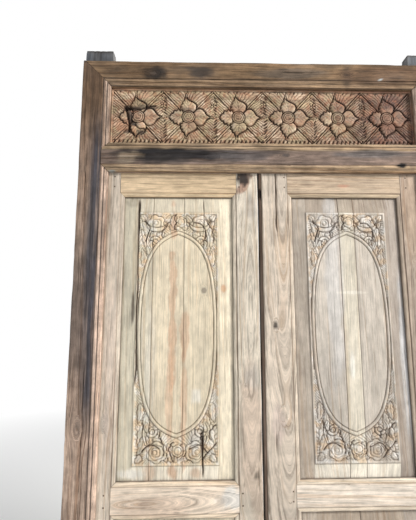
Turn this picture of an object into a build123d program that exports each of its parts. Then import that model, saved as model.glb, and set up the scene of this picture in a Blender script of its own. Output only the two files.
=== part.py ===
import os
from math import cos, pi, sin
from build123d import *

# Double door with a carved panel over it, standing in its own pegged frame.
# X runs to the right as seen from the carved front, Y away from the viewer, Z up from the floor.

# Frame
overall_width = 1400
overall_height = 2280  # floor to the top of the head rail
frame_depth = 100
jamb_width = 110
head_height = 102
panel_opening_height = 230
transom_height = 117
threshold_height = 80
moulding_width = 28  # also the width of the rebate behind it
quirk_width = 3
lip_depth = 22  # front layer that is mitred, and the lip that the leaves close against
horn_height = 60  # jamb tenon standing above the head
horn_setback = 28
horn_thickness = 50
frame_tenon_thickness = 32
frame_tenon_setback = 42
frame_tenon_length = 60
frame_tenon_shoulder = 12
frame_peg_size = 14
frame_peg_depth = 46

# Leaves
leaf_thickness = 36
lip_gap = 0.3
side_clearance = 2
top_clearance = 2
bottom_clearance = 4
leaf_gap = 4
meeting_bead_width = 13
meeting_bead_sink = 9
stile_widths = {"left": (87, 96), "right": (113, 113)}  # hinge stile, meeting stile
top_rail_height = 118
mid_rail_heights = {"left": 117, "right": 103}
bottom_rail_height = 150
lower_panel_height = 418  # left leaf; the right rail leaves more
leaf_moulding = 16
leaf_front_layer = 12
leaf_tenon_thickness = 12
leaf_tenon_length = 50
leaf_tenon_shoulder = 20
pin_size = 5
pin_length = 20
pin_inset = 22
pivot_radius = 13
pivot_clearance = 0.1
top_pivot_length = 30
top_socket_depth = 34
bottom_pivot_length = 20
end_clearance = 0.3

# Panels
tongue = 12
tongue_gap = 1
tongue_thickness = 10
cheek_gap = 0.1
panel_back = 26
bevel_top = 5
field_top = 2
field_margin_side = 52
field_margin_top = 59
field_margin_bottom = 50
upper_boards = {"left": (192, 114), "right": (187, 58)}  # the last board takes the rest
lower_boards = {"left": (214,), "right": (214,)}

# Carving
border_line = 7
carving_depth = 6
oval_band = 12
oval_top_gap = 70
oval_bottom_gap = 88
oval_tip_slope = 0.35
oval_facets = 8  # to a quarter
transom_panel_thickness = 24
transom_tongue = 16
transom_tongue_setback = 30
transom_units = 6
transom_border_side = 13
transom_border_top = 12
transom_border_bottom = 14
transom_carving_depth = 9
petal_reach = 80
petal_half_width = 29
boss_radius = 20
rib_width = 9

# Places worked out from the sizes above
front = -frame_depth / 2
back = frame_depth / 2
inner_x = overall_width / 2 - jamb_width
rebate_x = inner_x + moulding_width
head_bottom = overall_height - head_height
rail_top = head_bottom - panel_opening_height
rail_bottom = rail_top - transom_height
sill_top = threshold_height - moulding_width
leaf_top = rail_bottom + moulding_width - top_clearance
leaf_bottom = sill_top + bottom_clearance
leaf_front = front + lip_depth + lip_gap
leaf_out = rebate_x - side_clearance
axis_y = leaf_front + leaf_thickness / 2
axis_x = leaf_out - leaf_thickness / 2
stile_total = sum(stile_widths["left"]) + sum(stile_widths["right"])
sight_width = (2 * leaf_out - stile_total - leaf_gap - meeting_bead_width) / 2
bottom_rail_top = leaf_bottom + bottom_rail_height
mid_rail_top = bottom_rail_top + lower_panel_height + mid_rail_heights["left"]
top_rail_bottom = leaf_top - top_rail_height
tenon_front = front + frame_tenon_setback
tenon_back = tenon_front + frame_tenon_thickness
leaf_tenon_y = leaf_front + leaf_front_layer
groove_y = leaf_tenon_y + (leaf_tenon_thickness - tongue_thickness) / 2


def block(x0, x1, y0, y1, z0, z1):
    box = Box(abs(x1 - x0), abs(y1 - y0), abs(z1 - z0))
    return Pos((x0 + x1) / 2, (y0 + y1) / 2, (z0 + z1) / 2) * box


def prism(points, y0, y1):
    corners = [(x, y0, z) for x, z in points]
    return extrude(make_face(Polyline(*corners, close=True)), amount=y1 - y0, dir=(0, 1, 0))


def upright_wedge(points, z0, z1):
    corners = [(x, y, z0) for x, y in points]
    return extrude(make_face(Polyline(*corners, close=True)), amount=z1 - z0, dir=(0, 0, 1))


def level_wedge(points, x0, x1):
    corners = [(x0, y, z) for y, z in points]
    return extrude(make_face(Polyline(*corners, close=True)), amount=x1 - x0, dir=(1, 0, 0))


def mirrored(shape):
    return mirror(shape, about=Plane.YZ)


def frame_edge():
    # Moulding of the frame as a waste profile: x runs in from the sight edge, y down from the face.
    # A quirk, a round bead, a small reed and a splay.
    w = moulding_width
    face = w + quirk_width
    return [
        Line((face, 0), (w, 3.5)),
        ThreePointArc((w, 3.5), (0.77 * w, 0.4), (0.54 * w, 3.5)),
        Polyline((0.54 * w, 3.5), (0.41 * w, 2), (0.29 * w, 5), (0.11 * w, 6), (0, 10)),
        Polyline((0, 10), (-1, 10), (-1, -1), (face, -1), (face, 0)),
    ]


def leaf_edge():
    # Moulding of the leaf members: a quirk, then a worn round down to the panel.
    w = leaf_moulding
    return [
        Polyline((w, 0), (w - 1.5, 2.5), (0.44 * w, 2.8), (0.14 * w, 4.6), (0, 8)),
        Polyline((0, 8), (-1, 8), (-1, -1), (w, -1), (w, 0)),
    ]


def edge_cutter(lines, sight, outward, face_y, z0, z1):
    # Waste along an upright edge whose sight line is at x = sight; outward is +1 or -1.
    plane = Plane(origin=(sight, face_y, z0), x_dir=(outward, 0, 0), z_dir=(0, 0, outward))
    profile = plane * make_face(lines)
    return extrude(profile, amount=z1 - z0, dir=(0, 0, 1))


def rail_cutter(lines, sight, inward, face_y, x0, x1):
    # Waste along a level edge whose sight line is at z = sight; inward is the way into the wood.
    plane = Plane(origin=(x0, face_y, sight), x_dir=(0, 0, inward), z_dir=(-inward, 0, 0))
    profile = plane * make_face(lines)
    return extrude(profile, amount=x1 - x0, dir=(1, 0, 0))


def pegs_of(places, size, y0, y1):
    half = size / 2
    return [block(x - half, x + half, y0, y1, z - half, z + half) for x, z in places]


# Frame members
def frame_tenons():
    # Shoulder line and height span of the tenons of the head, the rail over the doors and the threshold.
    inset = frame_tenon_shoulder
    return [
        (inner_x, (head_bottom + 2 * inset, overall_height - inset)),
        (rebate_x, (rail_bottom + moulding_width + inset, rail_top - 2 * inset)),
        (rebate_x, (inset, sill_top - inset / 2)),
    ]


def frame_peg_places():
    places = []
    for shoulder, (low, high) in frame_tenons():
        reach = shoulder + frame_tenon_length / 2
        places += [(side * reach, (low + high) / 2) for side in (-1, 1)]
    return places


def frame_pegs():
    return pegs_of(frame_peg_places(), frame_peg_size, back - frame_peg_depth, back)


def frame_peg_holes():
    size = frame_peg_size + 2 * cheek_gap
    return pegs_of(frame_peg_places(), size, back - frame_peg_depth - cheek_gap, back + 1)


def right_jamb():
    outer = overall_width / 2
    jamb = block(inner_x, outer, front, back, 0, overall_height)
    horn_front = front + horn_setback
    top = overall_height + horn_height
    jamb += block(inner_x, outer, horn_front, horn_front + horn_thickness, overall_height, top)
    waste = prism(
        [(inner_x, head_bottom), (inner_x + head_height, overall_height), (inner_x, overall_height)],
        front - 1,
        front + lip_depth,
    )
    jamb -= edge_cutter(frame_edge(), inner_x, 1, front, 0, overall_height)
    jamb -= waste
    jamb -= block(inner_x, rebate_x, front + lip_depth, back, 0, rail_top)
    jamb -= prism(
        [
            (inner_x, rail_bottom),
            (rebate_x, rail_bottom + moulding_width),
            (rebate_x, rail_top - moulding_width),
            (inner_x, rail_top),
        ],
        front - 1,
        front + lip_depth,
    )
    jamb -= prism(
        [(inner_x, 0), (rebate_x, 0), (rebate_x, sill_top), (inner_x, threshold_height)],
        front - 1,
        front + lip_depth,
    )
    groove_end = inner_x + tongue + tongue_gap
    jamb -= block(inner_x, groove_end, *transom_groove(), rail_top, head_bottom + tongue + tongue_gap)
    cheeks = (tenon_front - cheek_gap, tenon_back + cheek_gap)
    for shoulder, (low, high) in frame_tenons():
        end = shoulder + frame_tenon_length + tongue_gap
        jamb -= block(shoulder, end, *cheeks, low - cheek_gap, high + cheek_gap)
    return jamb


def transom_groove():
    y0 = front + transom_tongue_setback
    return y0 - cheek_gap, y0 + transom_tongue + cheek_gap


def head_rail():
    mitre = inner_x + head_height
    left = [(-inner_x, head_bottom), (-mitre, overall_height)]
    right = [(mitre, overall_height), (inner_x, head_bottom)]
    rail = prism(left + right, front, front + lip_depth)
    rail += block(-inner_x, inner_x, front + lip_depth, back, head_bottom, overall_height)
    rail -= rail_cutter(frame_edge(), head_bottom, 1, front, -mitre, mitre)
    rail -= block(-inner_x, inner_x, *transom_groove(), head_bottom, head_bottom + tongue + tongue_gap)
    return add_tenons(rail, *frame_tenons()[0])


def rail_front(low, high, mitre_low):
    # Front layer of a rail between the jambs, mitred into their mouldings.
    m = moulding_width
    left = [(-inner_x, high), (-rebate_x, high - m)]
    foot = [(-rebate_x, low + m), (-inner_x, low)] if mitre_low else [(-rebate_x, low)]
    outline = left + foot
    outline += [(-x, z) for x, z in reversed(outline)]
    return prism(outline, front, front + lip_depth)


def add_tenons(rail, shoulder, span):
    for side in (-1, 1):
        ends = (side * shoulder, side * (shoulder + frame_tenon_length))
        rail += block(*ends, tenon_front, tenon_back, *span)
    return rail


def socket(x, mouth, depth):
    # Round hole for a pivot; a positive depth runs up from the mouth, a negative one down.
    hole = Cylinder(pivot_radius + pivot_clearance, abs(depth))
    return Pos(x, axis_y, mouth + depth / 2) * hole


def transom_rail():
    rail = rail_front(rail_bottom, rail_top, True)
    lip = rail_bottom + moulding_width
    rail += block(-rebate_x, rebate_x, front + lip_depth, back, lip, rail_top)
    rail -= rail_cutter(frame_edge(), rail_bottom, 1, front, -rebate_x, rebate_x)
    rail -= rail_cutter(frame_edge(), rail_top, -1, front, -rebate_x, rebate_x)
    groove_half = inner_x + tongue + tongue_gap
    rail -= block(-groove_half, groove_half, *transom_groove(), rail_top - tongue - tongue_gap, rail_top)
    rail = add_tenons(rail, *frame_tenons()[1])
    for side in (-1, 1):
        rail -= socket(side * axis_x, lip, top_socket_depth)
    return rail


def threshold():
    rail = rail_front(0, threshold_height, False)
    rail += block(-rebate_x, rebate_x, front + lip_depth, back, 0, sill_top)
    rail -= rail_cutter(frame_edge(), threshold_height, -1, front, -rebate_x, rebate_x)
    rail = add_tenons(rail, *frame_tenons()[2])
    depth = bottom_clearance + bottom_pivot_length + end_clearance
    for side in (-1, 1):
        rail -= socket(side * axis_x, leaf_bottom, -depth)
    return rail


# Carved ornament, drawn in x and z on the front of a board
def raised(sketch, y_ground, height):
    plane = Plane(origin=(0, y_ground + 1, 0), x_dir=(1, 0, 0), z_dir=(0, -1, 0))
    return extrude(plane * sketch, amount=height + 1, dir=(0, -1, 0))


def turned(sketch, x, z, angle):
    return Pos(x, z) * Rot(0, 0, angle) * sketch


def outline_face(points):
    return make_face(Polyline(*points, close=True))


def two_sided(upper):
    # Closed outline about the X axis from the points of its upper side.
    return outline_face(upper + [(x, -y) for x, y in reversed(upper) if y > 0])


def petal():
    # Ogee petal along +X: belly and hollow neck, as shares of its reach and half width.
    sides = [(0.2, 0.3), (0.4, 0.88), (0.62, 1), (0.8, 0.62), (0.9, 0.2), (1.1, 0)]
    return two_sided([(petal_reach * x, petal_half_width * y) for x, y in sides])


def lobed_leaf(length, width, lobes=2):
    # Leaf along +X from its stalk: lobes stand out to a rounded envelope, notches fall short of it.
    upper = [(0, 0.08 * width)]
    for step in range(1, 2 * lobes):
        share = step / (2 * lobes)
        depth = 1 if step % 2 else 0.6
        upper.append((length * share, 0.5 * width * depth * sin(pi * share**0.8)))
    return two_sided(upper + [(length, 0)])


def comb_leaf(base, tip, reach, teeth):
    # Saw-edged leaf: a straight spine from base to tip, teeth along reach that shorten to the tip.
    spine = Vector(tip) - Vector(base)
    points = [Vector(base)]
    for tooth in range(teeth):
        root = Vector(base) + spine * ((tooth + 0.5) / teeth)
        point = Vector(reach) * (1 - 0.65 * tooth / teeth) + spine * (0.45 / teeth)
        points += [root + point, root + point * 0.45]
    return outline_face([tuple(point)[:2] for point in [*points[:-1], Vector(tip)]])


def rosette(radius, petals=5):
    # Flower outline: three points to a petal.
    points = []
    for step in range(3 * petals):
        turn = 2 * pi * step / (3 * petals) + pi / 2
        reach = radius * (0.62 if step % 3 == 0 else 1)
        points.append((reach * cos(turn), reach * sin(turn)))
    return outline_face(points)


def scroll(radius, steps=5):
    # Curl of foliage: a band that winds in and thins out.
    outer = []
    inner = []
    for step in range(steps + 1):
        share = step / steps
        turn = pi * (1.1 - 1.75 * share)
        reach = radius * (1 - 0.3 * share)
        outer.append((reach * cos(turn), reach * sin(turn)))
        reach -= radius * 0.42 * (1 - 0.5 * share)
        inner.append((reach * cos(turn), reach * sin(turn)))
    return outline_face(outer + inner[::-1])


# Carved panel over the doors
def transom_unit_size():
    width = (2 * inner_x - 2 * transom_border_side) / transom_units
    height = panel_opening_height - transom_border_top - transom_border_bottom
    return width, height


def unit_ribs(width, height):
    # Ribs on both diagonals, from the flower to the corners of the unit.
    slant = (width**2 + height**2) ** 0.5 / 2 - rib_width
    angle = Vector(1, 0, 0).get_angle(Vector(width, height, 0))
    inner = 1.7 * boss_radius
    bar = Pos((slant + inner) / 2, 0) * Rectangle(slant - inner, rib_width)
    return [Rot(0, 0, turn) * bar for turn in (angle, -angle, 180 + angle, 180 - angle)]


def unit_leaves(width, height):
    # Comb leaves in the eight half triangles between the ribs and the edges of the unit.
    half_w = width / 2
    half_h = height / 2
    above = comb_leaf((8, petal_reach + 6), (half_w - 18, half_h - 8), (-3, 16), 2)
    beside = comb_leaf((petal_reach + 4, 8), (half_w - 6, half_h - 26), (9, 3), 2)
    leaves = []
    for across in (False, True):
        for down in (False, True):
            for leaf in (above, beside):
                leaf = mirror(leaf, about=Plane.YZ) if across else leaf
                leaves.append(mirror(leaf, about=Plane.XZ) if down else leaf)
    return leaves


def transom_carving(y_ground):
    width, height = transom_unit_size()
    middle_z = rail_top + transom_border_bottom + height / 2
    flower = Sketch() + [Rot(0, 0, 90 * step) * petal() for step in range(4)]
    depth = transom_carving_depth
    layers = [(each, 0.62 * depth) for each in unit_ribs(width, height) + unit_leaves(width, height)]
    layers.append((flower, 0.8 * depth))
    layers.append((RegularPolygon(boss_radius, 12), 1.1 * depth))
    pieces = []
    for step in range(transom_units):
        x = -inner_x + transom_border_side + (step + 0.5) * width
        pieces += [raised(Pos(x, middle_z) * sketch, y_ground, rise) for sketch, rise in layers]
    return pieces


def transom_panel():
    tongue_y = front + transom_tongue_setback
    face_y = front + lip_depth
    half = inner_x + tongue
    panel = block(-half, half, tongue_y, tongue_y + transom_tongue, rail_top - tongue, head_bottom + tongue)
    edge = inner_x - side_clearance
    panel += block(-edge, edge, face_y, face_y + transom_panel_thickness, rail_top + 1, head_bottom - 1)
    width, height = transom_unit_size()
    carved_half = width * transom_units / 2
    ground = face_y + transom_carving_depth
    low = rail_top + transom_border_bottom
    panel -= block(-carved_half, carved_half, face_y - 1, ground, low, low + height)
    return panel + transom_carving(ground)


# Leaf members, all drawn for a leaf hinged on the right
def sight_span(side):
    hinge, meeting = stile_widths[side]
    high = leaf_out - hinge
    return high - sight_width, high


def mitre_ends(low, high, z_low, z_high):
    # Outline of a rail's front layer between the sight lines low and high.
    m = leaf_moulding
    outline = [(low - m, z_high - m), (low, z_high), (high, z_high), (high + m, z_high - m)]
    outline += [(high + m, z_low + m), (high, z_low), (low, z_low), (low - m, z_low + m)]
    return outline


def mid_rail_bottom(side):
    return mid_rail_top - mid_rail_heights[side]


def rail_spans(side):
    return {
        "top": (top_rail_bottom, leaf_top),
        "mid": (mid_rail_bottom(side), mid_rail_top),
        "bottom": (leaf_bottom, bottom_rail_top),
    }


def rail_outline(side, name):
    low, high = sight_span(side)
    z_low, z_high = rail_spans(side)[name]
    m = leaf_moulding
    if name == "top":
        return mitre_ends(low, high, z_low, z_high + m)[4:] + [(low - m, z_high), (high + m, z_high)]
    if name == "bottom":
        return mitre_ends(low, high, z_low - m, z_high)[:4] + [(high + m, z_low), (low - m, z_low)]
    return mitre_ends(low, high, z_low, z_high)


def tenon_zone(side, name):
    z_low, z_high = rail_spans(side)[name]
    return z_low + leaf_tenon_shoulder, z_high - leaf_tenon_shoulder


def pin_places(side):
    # Two pins through each tenon, further from the joint on the hinge stile.
    low, high = sight_span(side)
    places = []
    for name in rail_spans(side):
        z_low, z_high = tenon_zone(side, name)
        for share in (0.25, 0.75):
            z = z_low + (z_high - z_low) * share
            places.append((high + leaf_moulding + pin_inset, z))
            places.append((low - leaf_moulding - pin_inset / 2, z))
    return places


def pins(side):
    return pegs_of(pin_places(side), pin_size, leaf_front, leaf_front + pin_length)


def pin_holes(side):
    size = pin_size + 2 * cheek_gap
    return pegs_of(pin_places(side), size, leaf_front - 1, leaf_front + pin_length + cheek_gap)


def leaf_rail(side, name):
    low, high = sight_span(side)
    z_low, z_high = rail_spans(side)[name]
    back_y = leaf_front + leaf_thickness
    rail = prism(rail_outline(side, name), leaf_front, leaf_tenon_y)
    rail += block(low, high, leaf_tenon_y, back_y, z_low, z_high)
    ends = (low - leaf_tenon_length, high + leaf_tenon_length)
    rail += block(*ends, leaf_tenon_y, leaf_tenon_y + leaf_tenon_thickness, *tenon_zone(side, name))
    m = leaf_moulding
    deep = tongue + tongue_gap
    if name != "bottom":
        rail -= rail_cutter(leaf_edge(), z_low, 1, leaf_front, low - m, high + m)
        rail -= block(low, high, *panel_groove(), z_low, z_low + deep)
    if name != "top":
        rail -= rail_cutter(leaf_edge(), z_high, -1, leaf_front, low - m, high + m)
        rail -= block(low, high, *panel_groove(), z_high - deep, z_high)
    return rail - pin_holes(side)


def panel_groove():
    return groove_y - cheek_gap, groove_y + tongue_thickness + cheek_gap


def stile_waste(side, sight, outward):
    # Everything cut from a stile's inner edge: moulding, panel grooves, mitres and mortises.
    waste = [edge_cutter(leaf_edge(), sight, outward, leaf_front, leaf_bottom, leaf_top)]
    deep = tongue + tongue_gap
    for z_low, z_high in ((bottom_rail_top, mid_rail_bottom(side)), (mid_rail_top, top_rail_bottom)):
        waste.append(block(sight, sight + outward * deep, *panel_groove(), z_low - deep, z_high + deep))
    for name in rail_spans(side):
        waste.append(prism(rail_outline(side, name), leaf_front - 1, leaf_tenon_y))
        z_low, z_high = tenon_zone(side, name)
        end = sight + outward * (leaf_tenon_length + tongue_gap)
        cheeks = (leaf_tenon_y, leaf_tenon_y + leaf_tenon_thickness + cheek_gap)
        waste.append(block(sight, end, *cheeks, z_low - cheek_gap, z_high + cheek_gap))
    return waste + pin_holes(side)


def hinge_stile(side):
    sight = sight_span(side)[1]
    back_y = leaf_front + leaf_thickness
    stile = block(sight, axis_x, leaf_front, back_y, leaf_bottom, leaf_top)
    middle = (leaf_bottom + leaf_top) / 2
    stile += Pos(axis_x, axis_y, middle) * Cylinder(leaf_thickness / 2, leaf_top - leaf_bottom)
    low = leaf_bottom - bottom_clearance - bottom_pivot_length
    high = leaf_top + top_clearance + top_pivot_length
    stile += Pos(axis_x, axis_y, (low + high) / 2) * Cylinder(pivot_radius, high - low)
    return stile - stile_waste(side, sight, 1)


def meeting_stile(side):
    sight = sight_span(side)[0]
    edge = sight - stile_widths[side][1]
    back_y = leaf_front + leaf_thickness
    stile = block(edge, sight, leaf_front, back_y, leaf_bottom, leaf_top)
    return stile - stile_waste(side, sight, -1)


def meeting_bead():
    edge = sight_span("right")[0] - stile_widths["right"][1]
    y0 = leaf_front + meeting_bead_sink
    bead = block(edge - meeting_bead_width, edge, y0, leaf_front + leaf_thickness, leaf_bottom, leaf_top)
    nose = bead.edges().filter_by(Axis.Z).group_by(Axis.Y)[0].sort_by(Axis.X)
    return fillet(nose[0], meeting_bead_width * 0.4)


# Leaf panels
def raised_panel(low, high, z_low, z_high):
    depth = tongue - tongue_gap / 2
    plate = (low - depth, high + depth)
    panel = block(*plate, groove_y, groove_y + tongue_thickness, z_low - depth, z_high + depth)
    x0, x1, z0, z1 = low + tongue_gap, high - tongue_gap, z_low + tongue_gap, z_high - tongue_gap
    thick = block(x0, x1, leaf_front + bevel_top, leaf_front + panel_back, z0, z1)
    field = field_box(low, high, z_low, z_high)
    crest = leaf_front + bevel_top
    thick -= upright_wedge([(x0, groove_y), (field[0], crest), (x0, crest)], z0, z1)
    thick -= upright_wedge([(x1, groove_y), (field[1], crest), (x1, crest)], z0, z1)
    thick -= level_wedge([(groove_y, z0), (crest, field[2]), (crest, z0)], x0, x1)
    thick -= level_wedge([(groove_y, z1), (crest, field[3]), (crest, z1)], x0, x1)
    return panel + thick + block(*field[:2], leaf_front + field_top, crest, *field[2:])


def field_box(low, high, z_low, z_high):
    sides = (low + field_margin_side, high - field_margin_side)
    return *sides, z_low + field_margin_bottom, z_high - field_margin_top


def oval(half_width, half_height):
    # Pointed oval, one curve for each quarter, in short straight facets.
    tip = (0, half_height)
    shoulder = (0.6 * half_width, half_height - 0.6 * half_width * oval_tip_slope)
    quarter = Bezier(tip, shoulder, (half_width, 0.8 * half_height), (half_width, 0))
    upper = [quarter @ (step / oval_facets) for step in range(oval_facets + 1)]
    right = upper + [Vector(point.X, -point.Y) for point in upper[-2::-1]]
    left = [Vector(-point.X, point.Y) for point in right[-2:0:-1]]
    return outline_face([(point.X, point.Y) for point in right + left])


def corner_spray():
    # Foliage of an upper left corner: x runs in from the border, y up, so down the border is negative.
    return [
        Pos(64, -31) * rosette(27),
        Pos(57, -100) * scroll(19),
        turned(lobed_leaf(96, 30), 27, -14, -99),
        turned(lobed_leaf(42, 26), 92, -53, -100),
        turned(lobed_leaf(44, 22), 99, -32, -50),
        outline_face([(4, -120), (38, -140), (17, -190), (4, -285)]),
    ]


def field_carving(box, y_ground):
    x0, x1, z0, z1 = box
    middle_x = (x0 + x1) / 2
    half_width = (x1 - x0) / 2 - border_line
    half_height = (z1 - z0 - oval_top_gap - oval_bottom_gap) / 2
    middle_z = z0 + oval_bottom_gap + half_height
    outer = Pos(middle_x, middle_z) * oval(half_width, half_height)
    inner = Pos(middle_x, middle_z) * oval(half_width - oval_band, half_height - 1.2 * oval_band)
    half = [Pos(-half_width, 0) * each for each in corner_spray()]
    group = half + [mirror(each, about=Plane.YZ) for each in half] + [Pos(0, -30) * rosette(22)]
    foliage = [Pos(middle_x, z1 - border_line) * each for each in group]
    foliage += [Pos(middle_x, z0 + border_line) * mirror(each, about=Plane.XZ) for each in group]
    pieces = [raised(each - outer, y_ground, 0.75 * carving_depth) for each in foliage]
    pieces.append(raised(outer - inner, y_ground, 0.95 * carving_depth))
    pieces.append(raised(inner, y_ground, 0.55 * carving_depth))
    return pieces


def board_edges(side, widths, low, high):
    edges = [low - tongue]
    for width in widths[side]:
        edges.append(edges[-1] + width)
    return edges + [high + tongue]


def boards(panel, edges):
    y0 = leaf_front - 1
    y1 = leaf_front + leaf_thickness + 1
    return [panel & block(x0, x1, y0, y1, 0, overall_height) for x0, x1 in zip(edges, edges[1:])]


def upper_panel(side):
    low, high = sight_span(side)
    panel = raised_panel(low, high, mid_rail_top, top_rail_bottom)
    box = field_box(low, high, mid_rail_top, top_rail_bottom)
    inside = (box[0] + border_line, box[1] - border_line)
    ground = leaf_front + field_top + carving_depth
    panel -= block(*inside, leaf_front - 1, ground, box[2] + border_line, box[3] - border_line)
    panel += field_carving(box, ground)
    return boards(panel, board_edges(side, upper_boards, low, high))


def lower_panel(side):
    low, high = sight_span(side)
    panel = raised_panel(low, high, bottom_rail_top, mid_rail_bottom(side))
    return boards(panel, board_edges(side, lower_boards, low, high))


def leaf_parts(side):
    parts = {
        "hinge_stile": hinge_stile(side),
        "meeting_stile": meeting_stile(side),
        "top_rail": leaf_rail(side, "top"),
        "mid_rail": leaf_rail(side, "mid"),
        "bottom_rail": leaf_rail(side, "bottom"),
        "tenon_pins": Compound(pins(side)),
    }
    for number, board in enumerate(upper_panel(side), 1):
        parts[f"carved_board_{number}"] = board
    for number, board in enumerate(lower_panel(side), 1):
        parts[f"lower_board_{number}"] = board
    if side == "right":
        parts["meeting_bead"] = meeting_bead()
    return parts


def save(name, shape):
    export_step(shape, f"parts/{name}.step")


def build():
    os.makedirs("parts", exist_ok=True)
    jamb = right_jamb() - frame_peg_holes()
    save("right_jamb", jamb)
    save("left_jamb", mirrored(jamb))
    save("head_rail", head_rail() - frame_peg_holes())
    save("transom_rail", transom_rail() - frame_peg_holes())
    save("threshold", threshold() - frame_peg_holes())
    save("transom_panel", transom_panel())
    save("frame_pegs", Compound(frame_pegs()))
    for side in ("left", "right"):
        for name, shape in leaf_parts(side).items():
            save(f"{side}_{name}", mirrored(shape) if side == "left" else shape)


build()
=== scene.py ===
from math import cos, hypot, pi, radians, sin
import bmesh
import bpy
import numpy as np
from mathutils import Euler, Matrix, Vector


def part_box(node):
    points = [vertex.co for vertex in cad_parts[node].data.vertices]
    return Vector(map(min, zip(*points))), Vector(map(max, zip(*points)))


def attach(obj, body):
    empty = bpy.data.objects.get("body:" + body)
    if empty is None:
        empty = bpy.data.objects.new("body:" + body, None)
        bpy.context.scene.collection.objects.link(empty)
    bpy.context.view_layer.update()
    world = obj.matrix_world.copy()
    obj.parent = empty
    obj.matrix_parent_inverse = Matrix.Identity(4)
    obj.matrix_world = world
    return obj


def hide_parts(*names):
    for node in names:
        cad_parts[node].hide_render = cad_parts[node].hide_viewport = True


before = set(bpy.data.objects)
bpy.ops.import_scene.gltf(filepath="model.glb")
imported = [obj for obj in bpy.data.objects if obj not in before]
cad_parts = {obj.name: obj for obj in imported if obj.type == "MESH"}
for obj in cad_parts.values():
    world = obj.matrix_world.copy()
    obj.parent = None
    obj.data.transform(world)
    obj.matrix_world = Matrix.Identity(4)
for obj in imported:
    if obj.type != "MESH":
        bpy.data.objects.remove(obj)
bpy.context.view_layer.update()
print("frame loaded:", len(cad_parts), "nodes")

# Places read from the frame, all in metres
box = {name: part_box(name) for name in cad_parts}
front, back = box["left_jamb"][0].y, box["left_jamb"][1].y
innerX, outerX = box["right_jamb"][0].x, box["right_jamb"][1].x
headLow, headHigh = box["head_rail"][0].z, box["head_rail"][1].z
hornTop = box["right_jamb"][1].z
railLow, railHigh = box["transom_rail"][0].z, box["transom_rail"][1].z
sillHigh = box["threshold"][1].z
leafFront, leafBack = box["left_mid_rail"][0].y, box["left_mid_rail"][1].y
leafLow, leafHigh = box["left_meeting_stile"][0].z, box["left_meeting_stile"][1].z

# Sections shared by the members
joinery = {
    "frameMoulding": 0.028,
    "frameQuirk": 0.003,
    "frameLip": 0.022,
    "frameMouldingDrop": 0.010,
    "hornDepths": (0.028, 0.078),
    "leafMoulding": 0.016,
    "leafFrontLayer": 0.012,
    "leafMouldingDrop": 0.008,
    "pivotRadius": 0.013,
    "roundOver": 0.0025,
}
rebateX = innerX + joinery["frameMoulding"]
# distances between points: over a moulding, on a flat face, along an upright
meshSteps = {"moulding": 0.0017, "flat": 0.0034, "rows": 0.012}


# Noise
noiseTable = np.random.default_rng(11).random((256, 256))


def valueNoise(u, v, seed=0):
    u, v = np.broadcast_arrays(u + 31.7 * seed, v + 17.3 * seed)
    iu, iv = np.floor(u).astype(int), np.floor(v).astype(int)
    fu, fv = u - iu, v - iv
    fu, fv = fu * fu * (3 - 2 * fu), fv * fv * (3 - 2 * fv)
    low = noiseTable[iu % 256, iv % 256] * (1 - fu) + noiseTable[(iu + 1) % 256, iv % 256] * fu
    high = noiseTable[iu % 256, (iv + 1) % 256] * (1 - fu) + noiseTable[(iu + 1) % 256, (iv + 1) % 256] * fu
    return low * (1 - fv) + high * fv


def layeredNoise(u, v, seed=0, layers=3):
    total, weight, share = 0, 0, 1.0
    for layer in range(layers):
        total = total + share * valueNoise(u * 2**layer, v * 2**layer, seed + 5 * layer)
        weight += share
        share *= 0.5
    return total / weight


def smoothStep(low, high, value):
    share = np.clip((value - low) / (high - low), 0, 1)
    return share * share * (3 - 2 * share)


def fadeOut(away, reach):
    # 1 on a line, falling evenly to 0 at the reach.
    return np.clip(1 - away / reach, 0, 1)


def mix(a, b, mask):
    return a + (np.asarray(b) - a) * np.asarray(mask)[..., None]


def gridOf(*parts):
    # All the values in order, none twice.
    return np.unique(np.round(np.concatenate(parts), 6))


# Grain: distance from the pith, which runs beside the board, bent round its knots
def ringField(along, across, depth, wood):
    pith = wood["pith"]
    offAcross = across - pith[0] - pith[2] * along
    offDepth = depth - pith[1] - pith[3] * along
    ring = np.hypot(offAcross, offDepth)
    seed = wood["seed"]
    ring = ring + 0.009 * (layeredNoise(along * 2.1, across * 7, seed) - 0.5)
    ring = ring + 0.003 * (layeredNoise(along * 9, across * 30, seed + 3) - 0.5)
    for knotAlong, knotAcross, radius in wood.get("knots", ()):
        away = np.hypot((along - knotAlong) / 2.4, across - knotAcross)
        pull = np.exp(-((away / (2.2 * radius)) ** 2))
        ring = ring - (across - knotAcross) * 0.8 * pull
        core = smoothStep(1.3 * radius, 0.7 * radius, away)
        ring = ring * (1 - core) + 1.6 * away * core
    return ring


def crackGaps(along, across, wood, wander, pace):
    # For each crack of a board how open it is at every point, and its depth.
    for middle, low, high, width, sink in wood.get("cracks", ()):
        path = middle + wander * (layeredNoise(along * pace, along * 0, wood["seed"] + 7) - 0.5)
        ends = smoothStep(low, low + 0.03, along) * smoothStep(high, high - 0.03, along)
        yield fadeOut(abs(across - path), width) * ends, sink


# Painting: every stain is a soft shape with a ragged edge, laid over the wood's own colour
def stain(at, size, colour, strength, seed, **edge):
    # Middle and half sizes; edge may hold turn, ragged, soft, fine, long and square.
    return {"at": at, "size": size, "colour": colour, "strength": strength, "seed": seed, **edge}


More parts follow.
